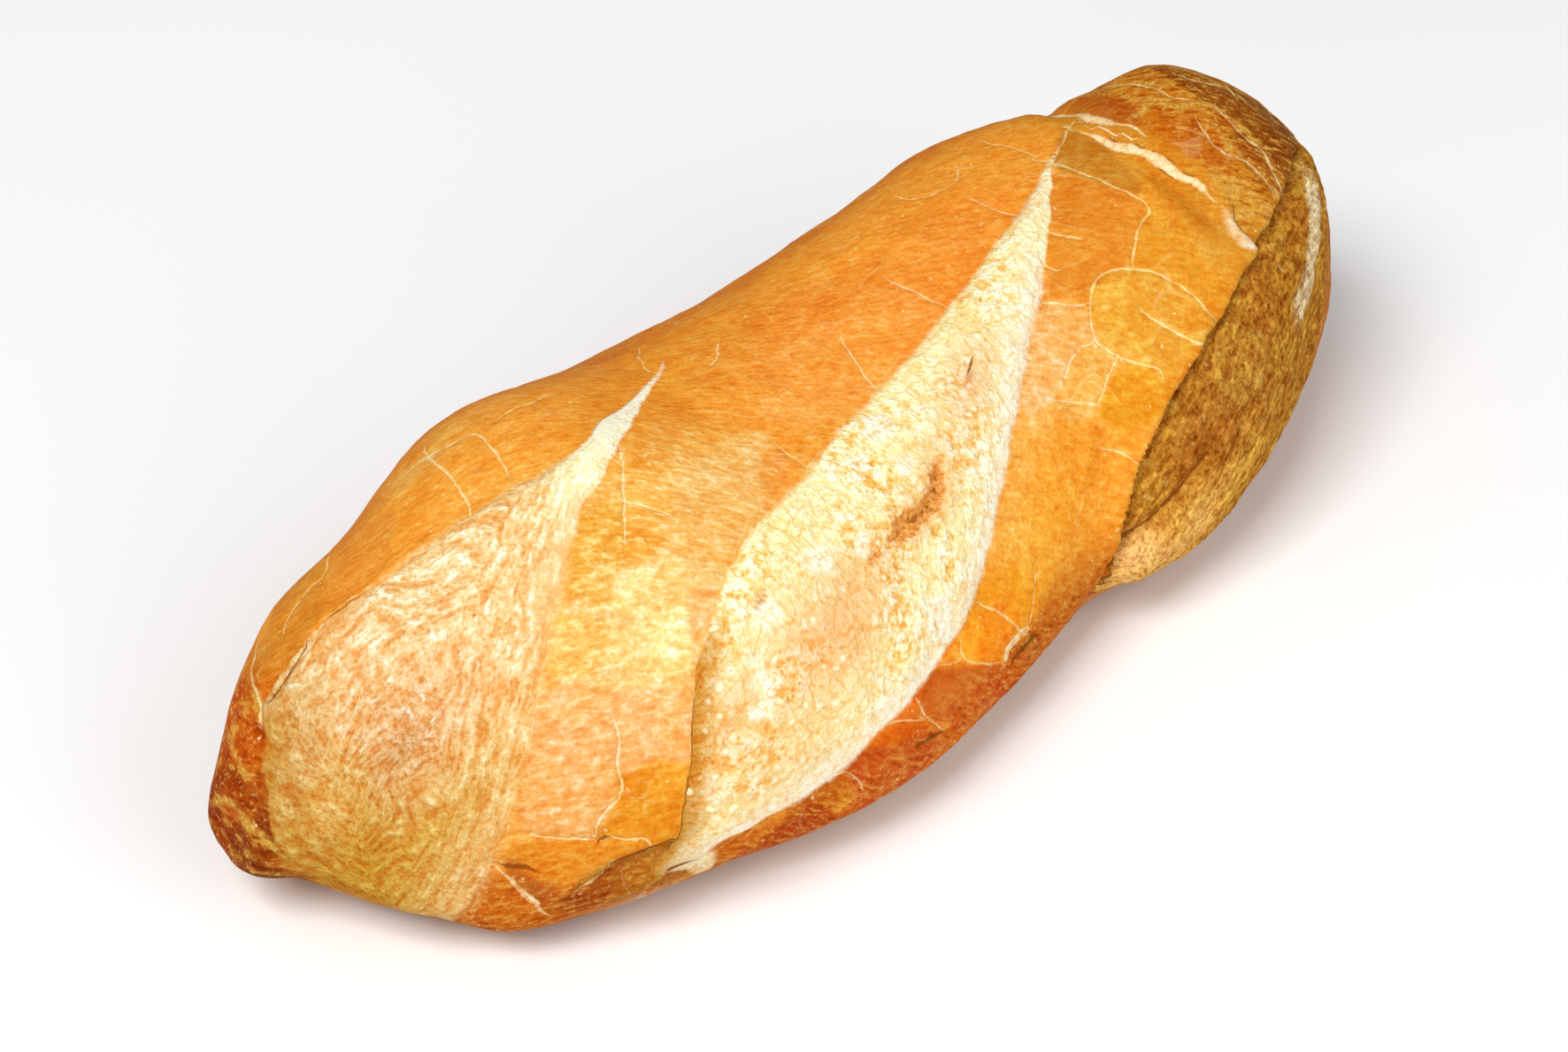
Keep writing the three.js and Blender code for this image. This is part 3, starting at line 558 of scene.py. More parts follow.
for k, lo, hi, amount in ((2, 0.08, 0.99, 1.0), (1, 0.87, 1.0, 0.9), (0, 0.555, 0.60, 0.8), (0, 0.67, 0.71, 0.45), (0, 0.10, 0.30, 0.35)):
    band = smooth(lo - 0.03, lo + 0.03, share_of[k]) * smooth(hi + 0.02, hi - 0.02, share_of[k])
    painted_lip_shadow = np.where(near_upper[k] & (np.abs(inside[k]) < 4), np.maximum(painted_lip_shadow, amount * band), painted_lip_shadow)

tear_x = TEAR["x"] + TEAR["bend"] * (S - TEAR["bend_from"]) ** 2
tear = np.exp(-((X + 1.2 * noise(P / 9.0, 8) - tear_x) / TEAR["width"]) ** 2) * smooth(TEAR["lo"], TEAR["lo"] + 25, S) * smooth(TEAR["hi"], TEAR["hi"] - 14, S)
H -= TEAR["depth"] * tear
for (bx, by, bz, reach, rise) in SWELLS:
    H += rise * np.exp(-((P[..., 0] - bx) ** 2 + (P[..., 1] - by) ** 2 + (P[..., 2] - bz) ** 2) / reach ** 2)

CR_SIGNED, CR_DIST, CR_WIDTH = line_fields(PALE_CRACKS, wobble_p, 0)
DK_SIGNED, DK_DIST, DK_WIDTH = line_fields(SHADED_LAP_CREASES, wobble_p, 3)
_, CREASE, CREASE_WIDTH = line_fields(CRUMB_CREASE, wobble_p + 0.6 * np.stack([noise(P / 2.5, 96), noise(P / 2.5, 97), 0 * X], -1), 5)

_, SEAM_DIST, SEAM_WIDTH = line_fields(SEAMS, wobble_p, 7)

crumb = np.clip(np.maximum(np.maximum(smooth(-0.6, 0.6, IN1), smooth(-0.6, 0.6, IN2)), smooth(-0.6, 0.6, IN3)), 0, 1)
crust = 1 - crumb

# Streaks: each zone has its own direction of stretch.  FLOW is the place in a
# noise field that changes slowly along the streaks and fast across them.
def streaks(angle_deg, slow):
    c, s = math.cos(math.radians(angle_deg)), math.sin(math.radians(angle_deg))
    u, v = X * c + S * s, -X * s + S * c
    return np.stack([u * slow, 0 * u, v], -1)

swirl_x, swirl_s = X + 131.0 + 5.0 * noise(P / 13.0, 81), S - 27.0 + 5.0 * noise(P / 13.0, 82)
swirl_r = np.hypot(swirl_x, swirl_s)
SWIRL = np.stack([13.0 * swirl_x / (swirl_r + 3.0), 13.0 * swirl_s / (swirl_r + 3.0), swirl_r], -1)
under = smooth(-0.4, -0.85, normal[..., 2])
BY_EDGE = np.stack([share_of[0] * 40.0 + 60.0, under, to_lower_edge[0]], -1)
near_edge = smooth(20, 11, to_lower_edge[0] + 5 * noise(P / 9.0, 83))

# crust: broad unevenness, faint pimples, cracks as small grooves
H += 0.55 * fbm(P / 26.0, 2, 11)
H += crust * (0.22 * fbm(P / 8.0, 2, 12) + 0.07 * fbm(P / 2.6, 2, 13))
d1, d2, ident = cells(P / 7.0, 21)
H += crust * 0.16 * smooth(0.20, 0.05, d1) * ((ident >> 5) % 3 == 0)
H -= crust * 0.35 * np.exp(-(CR_DIST / (0.5 + CR_WIDTH)) ** 2) * (CR_WIDTH > 0)
torn = np.exp(-(CR_DIST / 1.5) ** 2) * smooth(0.6, 0.9, CR_WIDTH)
H -= torn * (0.30 + 0.16 * noise(P / 3.0, 23))
# plates of crust stand a little apart in height
p1, p2, plate = cells(P / 21.0 + 0.35 * np.stack([noise(P / 16.0, 31), noise(P / 16.0, 32), noise(P / 16.0, 33)], -1), 34)
H += crust * 0.25 * (((plate >> 3) % 100) / 50.0 - 1) * smooth(0.0, 0.10, p2 - p1)
# laps: the upper side stands over the lower
lap = np.exp(-(DK_DIST / 5.0) ** 2) * smooth(0.0, 0.3, DK_WIDTH)
H += lap * np.where(DK_SIGNED > 0, -0.9, 0.5) * smooth(0.0, 0.8, DK_DIST) * (crumb < 0.5)
H += -0.8 * np.exp(-(DK_DIST / 0.9) ** 2) * smooth(0.0, 0.3, DK_WIDTH)
# crumb: ragged ridges along the stretch, small bubbles
H += (IN1 > 0) * smooth(0, 3, IN1) * (0.55 * (fbm(SWIRL / 3.6, 3, 41) * (1 - near_edge) + fbm(BY_EDGE / 3.6, 3, 41) * near_edge) + 0.25 * fbm(P / 1.7, 2, 42))
H += (IN2 > 0) * smooth(0, 3, IN2) * (0.75 * fbm(streaks(151, 0.45) / 6.5, 3, 43) + 0.38 * fbm(P / 2.0, 2, 44))
H += (IN3 > 0) * smooth(0, 3, IN3) * (0.75 * fbm(streaks(146, 0.36) / 4.2, 3, 45) + 0.30 * fbm(P / 2.0, 2, 46))
crease = smooth(1.2, 0.1, (CREASE + 0.4 * noise(P / 2.2, 47)) / (CREASE_WIDTH + 0.2))
H -= 1.1 * crease * (IN2 > 0)
H += 0.6 * np.exp(-((CREASE - 3.6) / 1.6) ** 2) * (IN2 > 0) * smooth(0.8, 1.4, CREASE_WIDTH)
H += 0.5 * np.exp(-((X + 30) / 14.0) ** 2 - ((S - 43) / 5.0) ** 2) * (IN2 > 2)
# the folded lower lobe of the right-hand slash
lobe = np.exp(-((X - 43) / 13.0) ** 2 - ((S - 88.5) / 6.0) ** 2)
groove_s = np.interp(X, [30, 35, 46, 56, 64, 80], [93, 84.5, 80.6, 77.5, 73.4, 70])
lower_lobe = smooth(-0.5, 1.0, S - groove_s) * smooth(74, 62, X) * (IN3 > 0)
H += 1.0 * lobe * (IN3 > 0) + 0.9 * lower_lobe * smooth(0, 2.5, S - groove_s)

Q = P + normal * (H * low_fade * end_fade)[..., None] + slide * (low_fade * end_fade)[..., None]
Q[..., 2] += under * np.clip(0.5 * (fbm(P / 9.0, 2, 51) + 0.25), 0, 1)
Q[..., 2] = np.maximum(Q[..., 2], 0)
Q[..., 1] -= MIDDLE_Y

# ---------------------------------------------------------------------------
# broad colours of crust and crumb, linear light
# ---------------------------------------------------------------------------
def spot(x0, s0, rx, rs, turn=0.0):
    c, s = math.cos(math.radians(turn)), math.sin(math.radians(turn))
    u, v = (X - x0) * c + (S - s0) * s, -(X - x0) * s + (S - s0) * c
    return np.exp(-(u / rx) ** 2 - (v / rs) ** 2)


def tint(base, amount, colour):
    return base + (np.array(colour) - base) * np.clip(amount, 0, 1)[..., None]


Z = P[..., 2]
n_broad = fbm(P / 34.0, 2, 61)
n_mid = fbm(P / 11.0, 3, 62)
z_middle = fbm(P * 0.13, 3, 63)
z_middle /= z_middle.std()
CRUST = np.empty(P.shape)
CRUST[:] = (0.82, 0.315, 0.040)
CRUST = tint(CRUST, 0.45 + 0.9 * n_broad, (0.84, 0.35, 0.050))
CRUST = tint(CRUST, 0.75 * spot(31, 6, 34, 16, -30), (0.85, 0.285, 0.044))           # hot orange by the middle slash
CRUST = tint(CRUST, 0.7 * spot(-12, 2, 30, 14, -30), (0.88, 0.325, 0.066))
CRUST = tint(CRUST, 0.8 * spot(-88, -8, 26, 11, -30), (0.87, 0.37, 0.066))           # band above the left slash
# painted highlight: the pale middle band, here and in the next line, is partly the crust's straw colour and partly
# painted sheen
CRUST = tint(CRUST, 1.0 * spot(-66, 24, 22, 14, -20), (0.87, 0.49, 0.135))           # pale middle band
CRUST = tint(CRUST, 1.0 * spot(-90, 40, 22, 14, -45), (0.78, 0.52, 0.18))
CRUST = tint(CRUST, 0.9 * spot(-106, 50, 13, 12, -45), (0.765, 0.40, 0.135))
CRUST = tint(CRUST, 0.9 * spot(-106, 72, 18, 9, 0), (0.73, 0.28, 0.030))
peach = np.exp(-((-to_lower_edge[1] - 4) / 8.0) ** 2) * smooth(0.15, 0.3, share_of[1]) * smooth(0.62, 0.45, share_of[1]) * (to_lower_edge[1] < 0)
CRUST = tint(CRUST, 0.75 * peach, (0.82, 0.43, 0.115))                               # strip beside the middle slash
CRUST = tint(CRUST, 0.8 * spot(10, 66, 26, 12, -40), (0.88, 0.385, 0.042))
CRUST = tint(CRUST, 0.7 * spot(78, 30, 18, 18), (0.71, 0.30, 0.032))
CRUST = tint(CRUST, 0.9 * smooth(76, 92, X), (0.60, 0.25, 0.026))
CRUST = tint(CRUST, 0.9 * smooth(94, 116, X + 3 * n_mid), (0.40, 0.135, 0.015))      # brown far end
CRUST = tint(CRUST, 0.60 * smooth(90, 100, X) * smooth(0.0, 0.3, n_mid), (0.50, 0.17, 0.018))
CRUST = tint(CRUST, 0.92 * smooth(-128, -148, X + 4 * n_mid), (0.42, 0.092, 0.009))   # brown near end
CRUST = tint(CRUST, 0.80 * smooth(-24, -42, S), (0.63, 0.195, 0.020))                 # back flank
foot = smooth(34, 18, Z + 6 * n_mid)
CRUST = tint(CRUST, 0.92 * foot, (0.52, 0.135, 0.013))                               # brown foot
CRUST = tint(CRUST, 0.85 * smooth(15, 5, Z + 4 * n_mid), (0.37, 0.075, 0.009))
# darkest in the last few millimetres above the floor: a browner bottom edge and painted contact shade
CRUST = tint(CRUST, 0.90 * smooth(9, 2.0, Z + 2 * n_mid), (0.20, 0.048, 0.008))
CRUST = tint(CRUST, 0.8 * spot(-91, -28, 12, 8), (0.78, 0.42, 0.090))
CRUST = tint(CRUST, 0.9 * smooth(-136, -147, X) * smooth(34, 22, Z), (0.27, 0.056, 0.009))
CRUST = tint(CRUST, 0.9 * spot(-153, 16, 7, 9), (0.26, 0.052, 0.008))
for outline, amount, colour in PATCHES:
    CRUST = tint(CRUST, amount * patch(outline), colour)
CRUST = tint(CRUST, 0.8 * spot(-153, 16, 6, 7), (0.26, 0.052, 0.008))
for amount, factor in ((0.60 * smooth(0.0, 2.0, z_middle), (0.92, 0.78, 0.62)), (0.45 * smooth(-0.4, -2.0, z_middle), (1.03, 1.18, 1.5))):
    CRUST = CRUST * (1 + (np.array(factor) - 1) * amount[..., None])
rim_zone = smooth(68, 76, S) * smooth(-86, -76, X) * smooth(2, -6, X)
CRUST = CRUST * (1 + rim_zone[..., None] * (np.array((0.07, -0.12, -0.25)) + np.array((0.06, 0.24, 0.25)) * np.clip(3.0 * n_mid, -1, 1)[..., None]))
CRUST = CRUST * (1 + (spot(-57, 96, 6, 4) * rim_zone)[..., None] * np.array((0.15, 0.45, 0.40)))
CRUST = CRUST * (1 + (smooth(90, 96, X) * smooth(24, 14, S))[..., None] * (np.array((0.02, -0.06, -0.35)) + smooth(105, 99, X)[..., None] * np.array((-0.04, -0.15, -0.05))))
CRUST = CRUST * (1 - 0.5 * spot(119.5, 21.5, 5, 5)[..., None] * np.array((0.30, 0.50, 0.55)))
CRUST = CRUST * (1 - (smooth(-139, -144, X) * smooth(8, 2, S) * smooth(-30, -20, S))[..., None] * np.array((0.0, 0.24, 0.50)))
CRUST = CRUST * (1 - 0.3 * spot(-154.6, 3.1, 4, 5)[..., None] * np.array((0.08, 0.35, 0.35)))
CRUST = CRUST * (1 - 0.8 * spot(-151.5, 21.5, 4, 5)[..., None] * np.array((0.25, 0.45, 0.50)))
ratio = CRUST[..., 1] / CRUST[..., 0]
CRUST[..., 2] *= 0.56 + 0.32 * smooth(0.38, 0.62, ratio)
CRUST[..., 1] *= 0.93 + 0.05 * smooth(0.38, 0.62, ratio)
UNDER = np.empty(P.shape)
UNDER[:] = (0.50, 0.215, 0.068)
UNDER = tint(UNDER, 0.6 + 1.1 * n_mid, (0.62, 0.31, 0.115))
UNDER = tint(UNDER, 0.9 * smooth(0.1, 0.5, n_broad), (0.40, 0.15, 0.045))
CRUST = CRUST + (UNDER - CRUST) * under[..., None]

CRUMB = np.empty(P.shape)
# left slash
c1 = np.empty(P.shape)
c1[:] = (0.84, 0.62, 0.29)
c1 = tint(c1, 0.7 * spot(-123, 19, 11, 9), (0.90, 0.72, 0.40))
c1 = tint(c1, 0.9 * spot(-131, 27, 19, 17), (0.70, 0.38, 0.150))
c1 = tint(c1, 0.95 * smooth(28, 44, S + 5 * n_mid) * smooth(-98, -114, X), (0.62, 0.345, 0.056))
c1 = tint(c1, 0.8 * smooth(58, 74, S), (0.62, 0.29, 0.035))
c1 = tint(c1, 0.8 * spot(-142, 38, 9, 12), (0.53, 0.265, 0.028))
c1 = tint(c1, 0.6 * spot(-103, 12, 12, 8, -40), (0.86, 0.54, 0.22))
c1 = tint(c1, 0.6 * spot(-127.5, 4.5, 10, 4, -47), (0.88, 0.50, 0.21))
c1 = c1 * (1 - (smooth(-134, -141, X) * smooth(14, 22, S))[..., None] * np.array((0.0, 0.03, 0.32)))
c1 = tint(c1, 0.9 * smooth(0.62, 0.75, share_of[0]) * np.exp(-(to_upper_edge[0] / 12.0) ** 2), (0.50, 0.235, 0.024))
# painted highlight: the pale strip by the lower edge and the near-white tip are partly pale crumb and partly painted
# highlight
strip = np.exp(-((to_lower_edge[0] - 4.0) / 4.5) ** 2) * smooth(0.52, 0.40, share_of[0])
c1 = tint(c1, 0.95 * strip, (0.97, 0.90, 0.50))
c1 = tint(c1, smooth(0.38, 0.24, share_of[0]), (0.99, 0.94, 0.68))
c1 = tint(c1, 0.6 * np.exp(-((to_lower_edge[0] - 1) / 7.0) ** 2) * smooth(0.38, 0.5, share_of[0]), (0.80, 0.53, 0.22))
# middle slash
c2 = np.empty(P.shape)
c2[:] = (0.95, 0.86, 0.44)
c2 = tint(c2, 0.7 * smooth(0.0, 0.5, n_mid), (0.95, 0.80, 0.30))
c2 = tint(c2, 0.8 * smooth(0.20, 0.08, share_of[1]), (0.94, 0.80, 0.50))
c2 = tint(c2, 0.9 * spot(-52, 60, 20, 11, -28), (0.85, 0.44, 0.155))
c2 = tint(c2, 0.8 * spot(-77, 68, 14, 8, -28), (0.86, 0.49, 0.18))
c2 = tint(c2, 0.6 * spot(-68, 82, 14, 7, -28), (0.88, 0.62, 0.27))
c2 = tint(c2, 0.8 * spot(12, 32, 20, 8, -28), (0.84, 0.53, 0.24))
c2 = tint(c2, 0.6 * spot(-70, 76, 18, 10, -28), (0.88, 0.62, 0.26))
c2 = tint(c2, 0.9 * np.exp(-((to_lower_edge[1] - 1.0) / 5.5) ** 2) * smooth(0.14, 0.24, share_of[1]), (0.96, 0.86, 0.62))
# painted highlight: whiter crumb spots, partly painted highlights
for bx, bs, r in ((-64.0, 52.2, 4.2), (-47.3, 45.7, 4.6), (-35.5, 47.8, 3.0), (-27.5, 66.1, 6.5), (-24.3, 33.3, 4.0), (-13.2, 27.8, 5.5), (-14.8, 37.5, 3.5), (-69.9, 63.6, 3.4), (-70.2, 58.5, 2.6), (-72.3, 67.8, 3.0)):
    c2 = tint(c2, 0.9 * smooth(1.1, 0.6, np.hypot(patch_x - bx, 1.3 * (patch_s - bs)) / r), (0.95, 0.90, 0.64))
# painted shade: a darker ochre strip along the middle slash's upper edge, where the crust lap overhangs the crumb
c2 = tint(c2, 0.95 * np.exp(-(to_upper_edge[1] / 5.5) ** 2) * smooth(0.77, 0.86, share_of[1]), (0.54, 0.235, 0.012))
c2 = tint(c2, 0.9 * smooth(0.96, 1.0, share_of[1]) * smooth(1.5, 6.0, to_upper_edge[1]), (0.80, 0.62, 0.32))
c2 = tint(c2, 0.5 * np.exp(-(CREASE / 5.0) ** 2), (0.84, 0.48, 0.17))
for bx, bs, turn in ((-63.2, 49.0, 152.0), (13.0, 30.7, 152.0)):
    c2 = tint(c2, 0.8 * smooth(0.55, 0.9, spot(bx, bs, 4.5, 1.3, turn)), (0.60, 0.22, 0.035))
c2 *= (0.98, 1.02, 1.08)
# right slash
c3 = np.empty(P.shape)
c3[:] = (0.44, 0.195, 0.020)
c3 = tint(c3, 0.8 * smooth(0.0, 0.35, n_mid), (0.40, 0.145, 0.016))
c3 = tint(c3, 0.8 * smooth(-0.05, -0.4, n_mid), (0.54, 0.29, 0.040))
c3 = tint(c3, 0.85 * spot(72, 72, 16, 8, -35), (0.38, 0.125, 0.014))
c3 = tint(c3, 0.8 * spot(72, 85, 11, 6, -30), (0.64, 0.34, 0.045))
c3 = tint(c3, 0.9 * spot(60.5, 71, 10, 6, -35), (0.36, 0.110, 0.012))
c3 = tint(c3, 0.9 * lower_lobe, (0.62, 0.295, 0.034))
c3 = tint(c3, 0.8 * spot(56, 89, 9, 5, -30), (0.80, 0.50, 0.140))
c3 = tint(c3, 0.95 * lobe, (0.72, 0.325, 0.036))
c3 = tint(c3, 0.9 * spot(42, 93, 14, 5) * lower_lobe, (0.86, 0.54, 0.16))
c3 = tint(c3, 0.7 * spot(104, 49, 9, 6, -35), (0.34, 0.120, 0.010))
c3 = tint(c3, 0.8 * spot(76, 65, 11, 6, -35), (0.44, 0.215, 0.030))
c3 = tint(c3, 0.8 * spot(64, 74, 8, 5, -35), (0.32, 0.090, 0.009))
c3 = tint(c3, 0.6 * spot(39, 86, 7, 4), (0.84, 0.54, 0.22))
# painted shade: the crumb darkened along the lap creases, as in the fold of the lower lobe
c3 = tint(c3, 0.5 * np.exp(-(DK_DIST / 1.6) ** 2), (0.34, 0.12, 0.012))
_, white, white_width = line_fields([(1.0, [(126.5, 28.5), (124.6, 33.0), (121.4, 38.4), (117.1, 46.0), (112.2, 52.1), (107.1, 56.6), (102.0, 60.0)])], wobble_p, 1)
c3 = tint(c3, 0.95 * smooth(4.0, 2.4, white + 1.1 * noise(P / 3.0, 71)) * smooth(0.2, 0.6, white_width), (0.68, 0.54, 0.30))
_, white, white_width = line_fields([(1.0, [(129.8, 33.0), (136.5, 36.0), (136.0, 44.0), (131.0, 52.0)])], wobble_p, 1)
c3 = tint(c3, 0.40 * smooth(2.2, 1.0, white + 0.9 * noise(P / 3.0, 72)) * smooth(0.2, 0.6, white_width), (0.62, 0.38, 0.12))
CRUMB[:] = c1
CRUMB = np.where((IN2 > -4)[..., None], c2, CRUMB)
CRUMB = np.where((IN3 > -4)[..., None], c3, CRUMB)

# ---------------------------------------------------------------------------
# the mesh
# ---------------------------------------------------------------------------
inner = Q[1:-1]
verts = np.concatenate([Q[0, :1], inner.reshape(-1, 3), Q[-1, :1]]) / 1000.0


def spread(field):
    """A field over the grid as one value for each vertex of the mesh."""
    return np.concatenate([field[0, :1], field[1:-1].reshape((-1,) + field.shape[2:]), field[-1, :1]])


rows = NU - 2
grid = 1 + np.arange(rows * NV).reshape(rows, NV)
nxt = np.roll(grid, -1, 1)
quads = np.stack([grid[:-1], nxt[:-1], nxt[1:], grid[1:]], -1).reshape(-1, 4)
first = np.stack([np.zeros(NV, int), nxt[0], grid[0]], -1)
last = np.stack([np.full(NV, len(verts) - 1), grid[-1], nxt[-1]], -1)
faces = [tuple(f) for f in quads.tolist()] + [tuple(f) for f in first.tolist()] + [tuple(f) for f in last.tolist()]

mesh = bpy.data.meshes.new("loaf_skin")
mesh.from_pydata([tuple(v) for v in verts.tolist()], [], faces)
mesh.update()
for poly in mesh.polygons:
    poly.use_smooth = True


def put(name, kind, field):
    values = spread(field).astype(np.float32)
    attr = mesh.attributes.new(name, kind, "POINT")
    if kind == "FLOAT":
        attr.data.foreach_set("value", values.ravel())
    elif kind == "FLOAT_VECTOR":
        attr.data.foreach_set("vector", values.ravel())
    else:
        rgba = np.concatenate([np.clip(values, 0, 1), np.ones((len(values), 1), np.float32)], 1)
        attr.data.foreach_set("color", rgba.ravel())


put("place", "FLOAT_VECTOR", P)
put("skin", "FLOAT_VECTOR", np.stack([X, S, near_edge], -1))
put("swirl", "FLOAT_VECTOR", SWIRL)
put("by_edge", "FLOAT_VECTOR", BY_EDGE)
put("slash", "FLOAT_VECTOR", np.stack([IN1, IN2, IN3], -1))
mottle = smooth(-1.1, 1.1, fbm(P / 13.0, 2, 106) / 0.30)
mottle = np.where(IN1 > -1, smooth(0.26, 0.50, share_of[0]) * (1 - 0.8 * np.exp(-(to_lower_edge[0] / 6.0) ** 2) * smooth(0.70, 0.55, share_of[0])), mottle)
mottle = np.where(IN2 > -1, mottle * (0.25 + 0.75 * smooth(2.0, 12.0, to_lower_edge[1])), mottle)
mottle = np.where(IN3 > -1, 1 - 0.8 * np.clip(lobe + lower_lobe * smooth(66, 52, X), 0, 1), mottle)
put("edge", "FLOAT_VECTOR", np.stack([edge_soft, painted_lip_shadow, mottle], -1))
put("crack", "FLOAT_VECTOR", np.stack([CR_SIGNED, CR_DIST, CR_WIDTH], -1))
put("crease", "FLOAT_VECTOR", np.stack([DK_SIGNED, DK_DIST, DK_WIDTH], -1))
drift = np.stack([noise(P * 0.09, 101), noise(P * 0.09, 102), noise(P * 0.09, 103)], -1)
put("wrapped", "FLOAT_VECTOR", P + 3.0 * drift)
gate_net, gate_fleck = fbm(P * 0.06, 2, 104), fbm(P * 0.10, 2, 105)
gate_net, gate_fleck = smooth(0.3, 1.4, gate_net / gate_net.std()), smooth(0.1, 1.1, gate_fleck / gate_fleck.std())
seam = smooth(0.7, -0.6, SEAM_DIST - SEAM_WIDTH) * smooth(0.1, 0.4, SEAM_WIDTH)
put("gates", "FLOAT_VECTOR", np.stack([gate_net * (1 - under), gate_fleck, seam], -1))
rustic = np.maximum(np.maximum(smooth(90, 104, X), 0.8 * smooth(32, 18, Z)), 0.9 * smooth(-136, -148, X)) * (1 - under)
put("zone", "FLOAT_VECTOR", np.stack([
    # the pale band's light colour is partly painted sheen
    np.clip(spot(-66, 24, 26, 14, -20) + spot(-92, 40, 26, 15, -45), 0, 1),          # streaky pale band
    np.clip(CREASE / (CREASE_WIDTH + 0.15), 0, 20) + 20 * (IN2 < 0),                  # crease in the middle slash
    rustic], -1))                                                                    # rougher, more mottled crust
put("crust_colour", "FLOAT_COLOR", CRUST)
put("crumb_colour", "FLOAT_COLOR", CRUMB)

loaf = bpy.data.objects.new("loaf_skin", mesh)
bpy.context.scene.collection.objects.link(loaf)


# ---------------------------------------------------------------------------
# the bread's material
# ---------------------------------------------------------------------------
class Nodes:
    def __init__(self, name):
        self.mat = bpy.data.materials.new(name)
        self.mat.use_nodes = True
        self.tree = self.mat.node_tree
        self.tree.nodes.clear()

    def new(self, kind, **props):
        node = self.tree.nodes.new(kind)
        for key, value in props.items():
            setattr(node, key, value)
        return node

    def link(self, value, socket):
        if isinstance(value, bpy.types.NodeSocket):
            self.tree.links.new(value, socket)
        elif isinstance(value, (tuple, list)):
            n = len(socket.default_value)
            socket.default_value = (tuple(value) + (1.0,))[:n]
        else:
            socket.default_value = value

    def math(self, op, a, b=None, c=None, clamp=False):
        node = self.new("ShaderNodeMath", operation=op, use_clamp=clamp)
        for socket, value in zip(node.inputs, (a, b, c)):
            if value is not None:
                self.link(value, socket)
        return node.outputs[0]

    def add(self, a, b): return self.math("ADD", a, b)
    def sub(self, a, b): return self.math("SUBTRACT", a, b)
    def mul(self, a, b): return self.math("MULTIPLY", a, b)
    def div(self, a, b): return self.math("DIVIDE", a, b)
    def top(self, a, b): return self.math("MAXIMUM", a, b)
    def low(self, a, b): return self.math("MINIMUM", a, b)
    def mag(self, a): return self.math("ABSOLUTE", a)

    def step(self, x, a, b, lo=0.0, hi=1.0):
        node = self.new("ShaderNodeMapRange", interpolation_type="SMOOTHSTEP")
        for socket, value in zip(node.inputs[:5], (x, a, b, lo, hi)):
            self.link(value, socket)
        return node.outputs[0]

    def mix(self, amount, a, b, blend="MIX"):
        node = self.new("ShaderNodeMix", data_type="RGBA", blend_type=blend, clamp_factor=True)
        self.link(amount, node.inputs[0])
        self.link(a, node.inputs[6])
        self.link(b, node.inputs[7])
        return node.outputs[2]

    def attr(self, name):
        return self.new("ShaderNodeAttribute", attribute_type="GEOMETRY", attribute_name=name)

    def split(self, vector):
        node = self.new("ShaderNodeSeparateXYZ")
        self.link(vector, node.inputs[0])
        return node.outputs

    def vec(self, op, a, b):
        node = self.new("ShaderNodeVectorMath", operation=op)
        self.link(a, node.inputs[0])
        if op == "SCALE":
            self.link(b, node.inputs["Scale"])
        else:
            self.link(b, node.inputs[1])
        return node.outputs[0]

    def noise(self, vector, scale, detail=2.0, rough=0.5, warp=0.0, colour=False):
        node = self.new("ShaderNodeTexNoise", noise_dimensions="3D")
        self.link(vector, node.inputs["Vector"])
        node.inputs["Scale"].default_value = scale
        node.inputs["Detail"].default_value = detail
        node.inputs["Roughness"].default_value = rough
        node.inputs["Distortion"].default_value = warp
        return node.outputs["Color" if colour else "Fac"]

    def voronoi(self, vector, scale, feature="F1", out="Distance"):
        node = self.new("ShaderNodeTexVoronoi", feature=feature, voronoi_dimensions="3D")
        self.link(vector, node.inputs["Vector"])
        node.inputs["Scale"].default_value = scale
        return node.outputs[out]


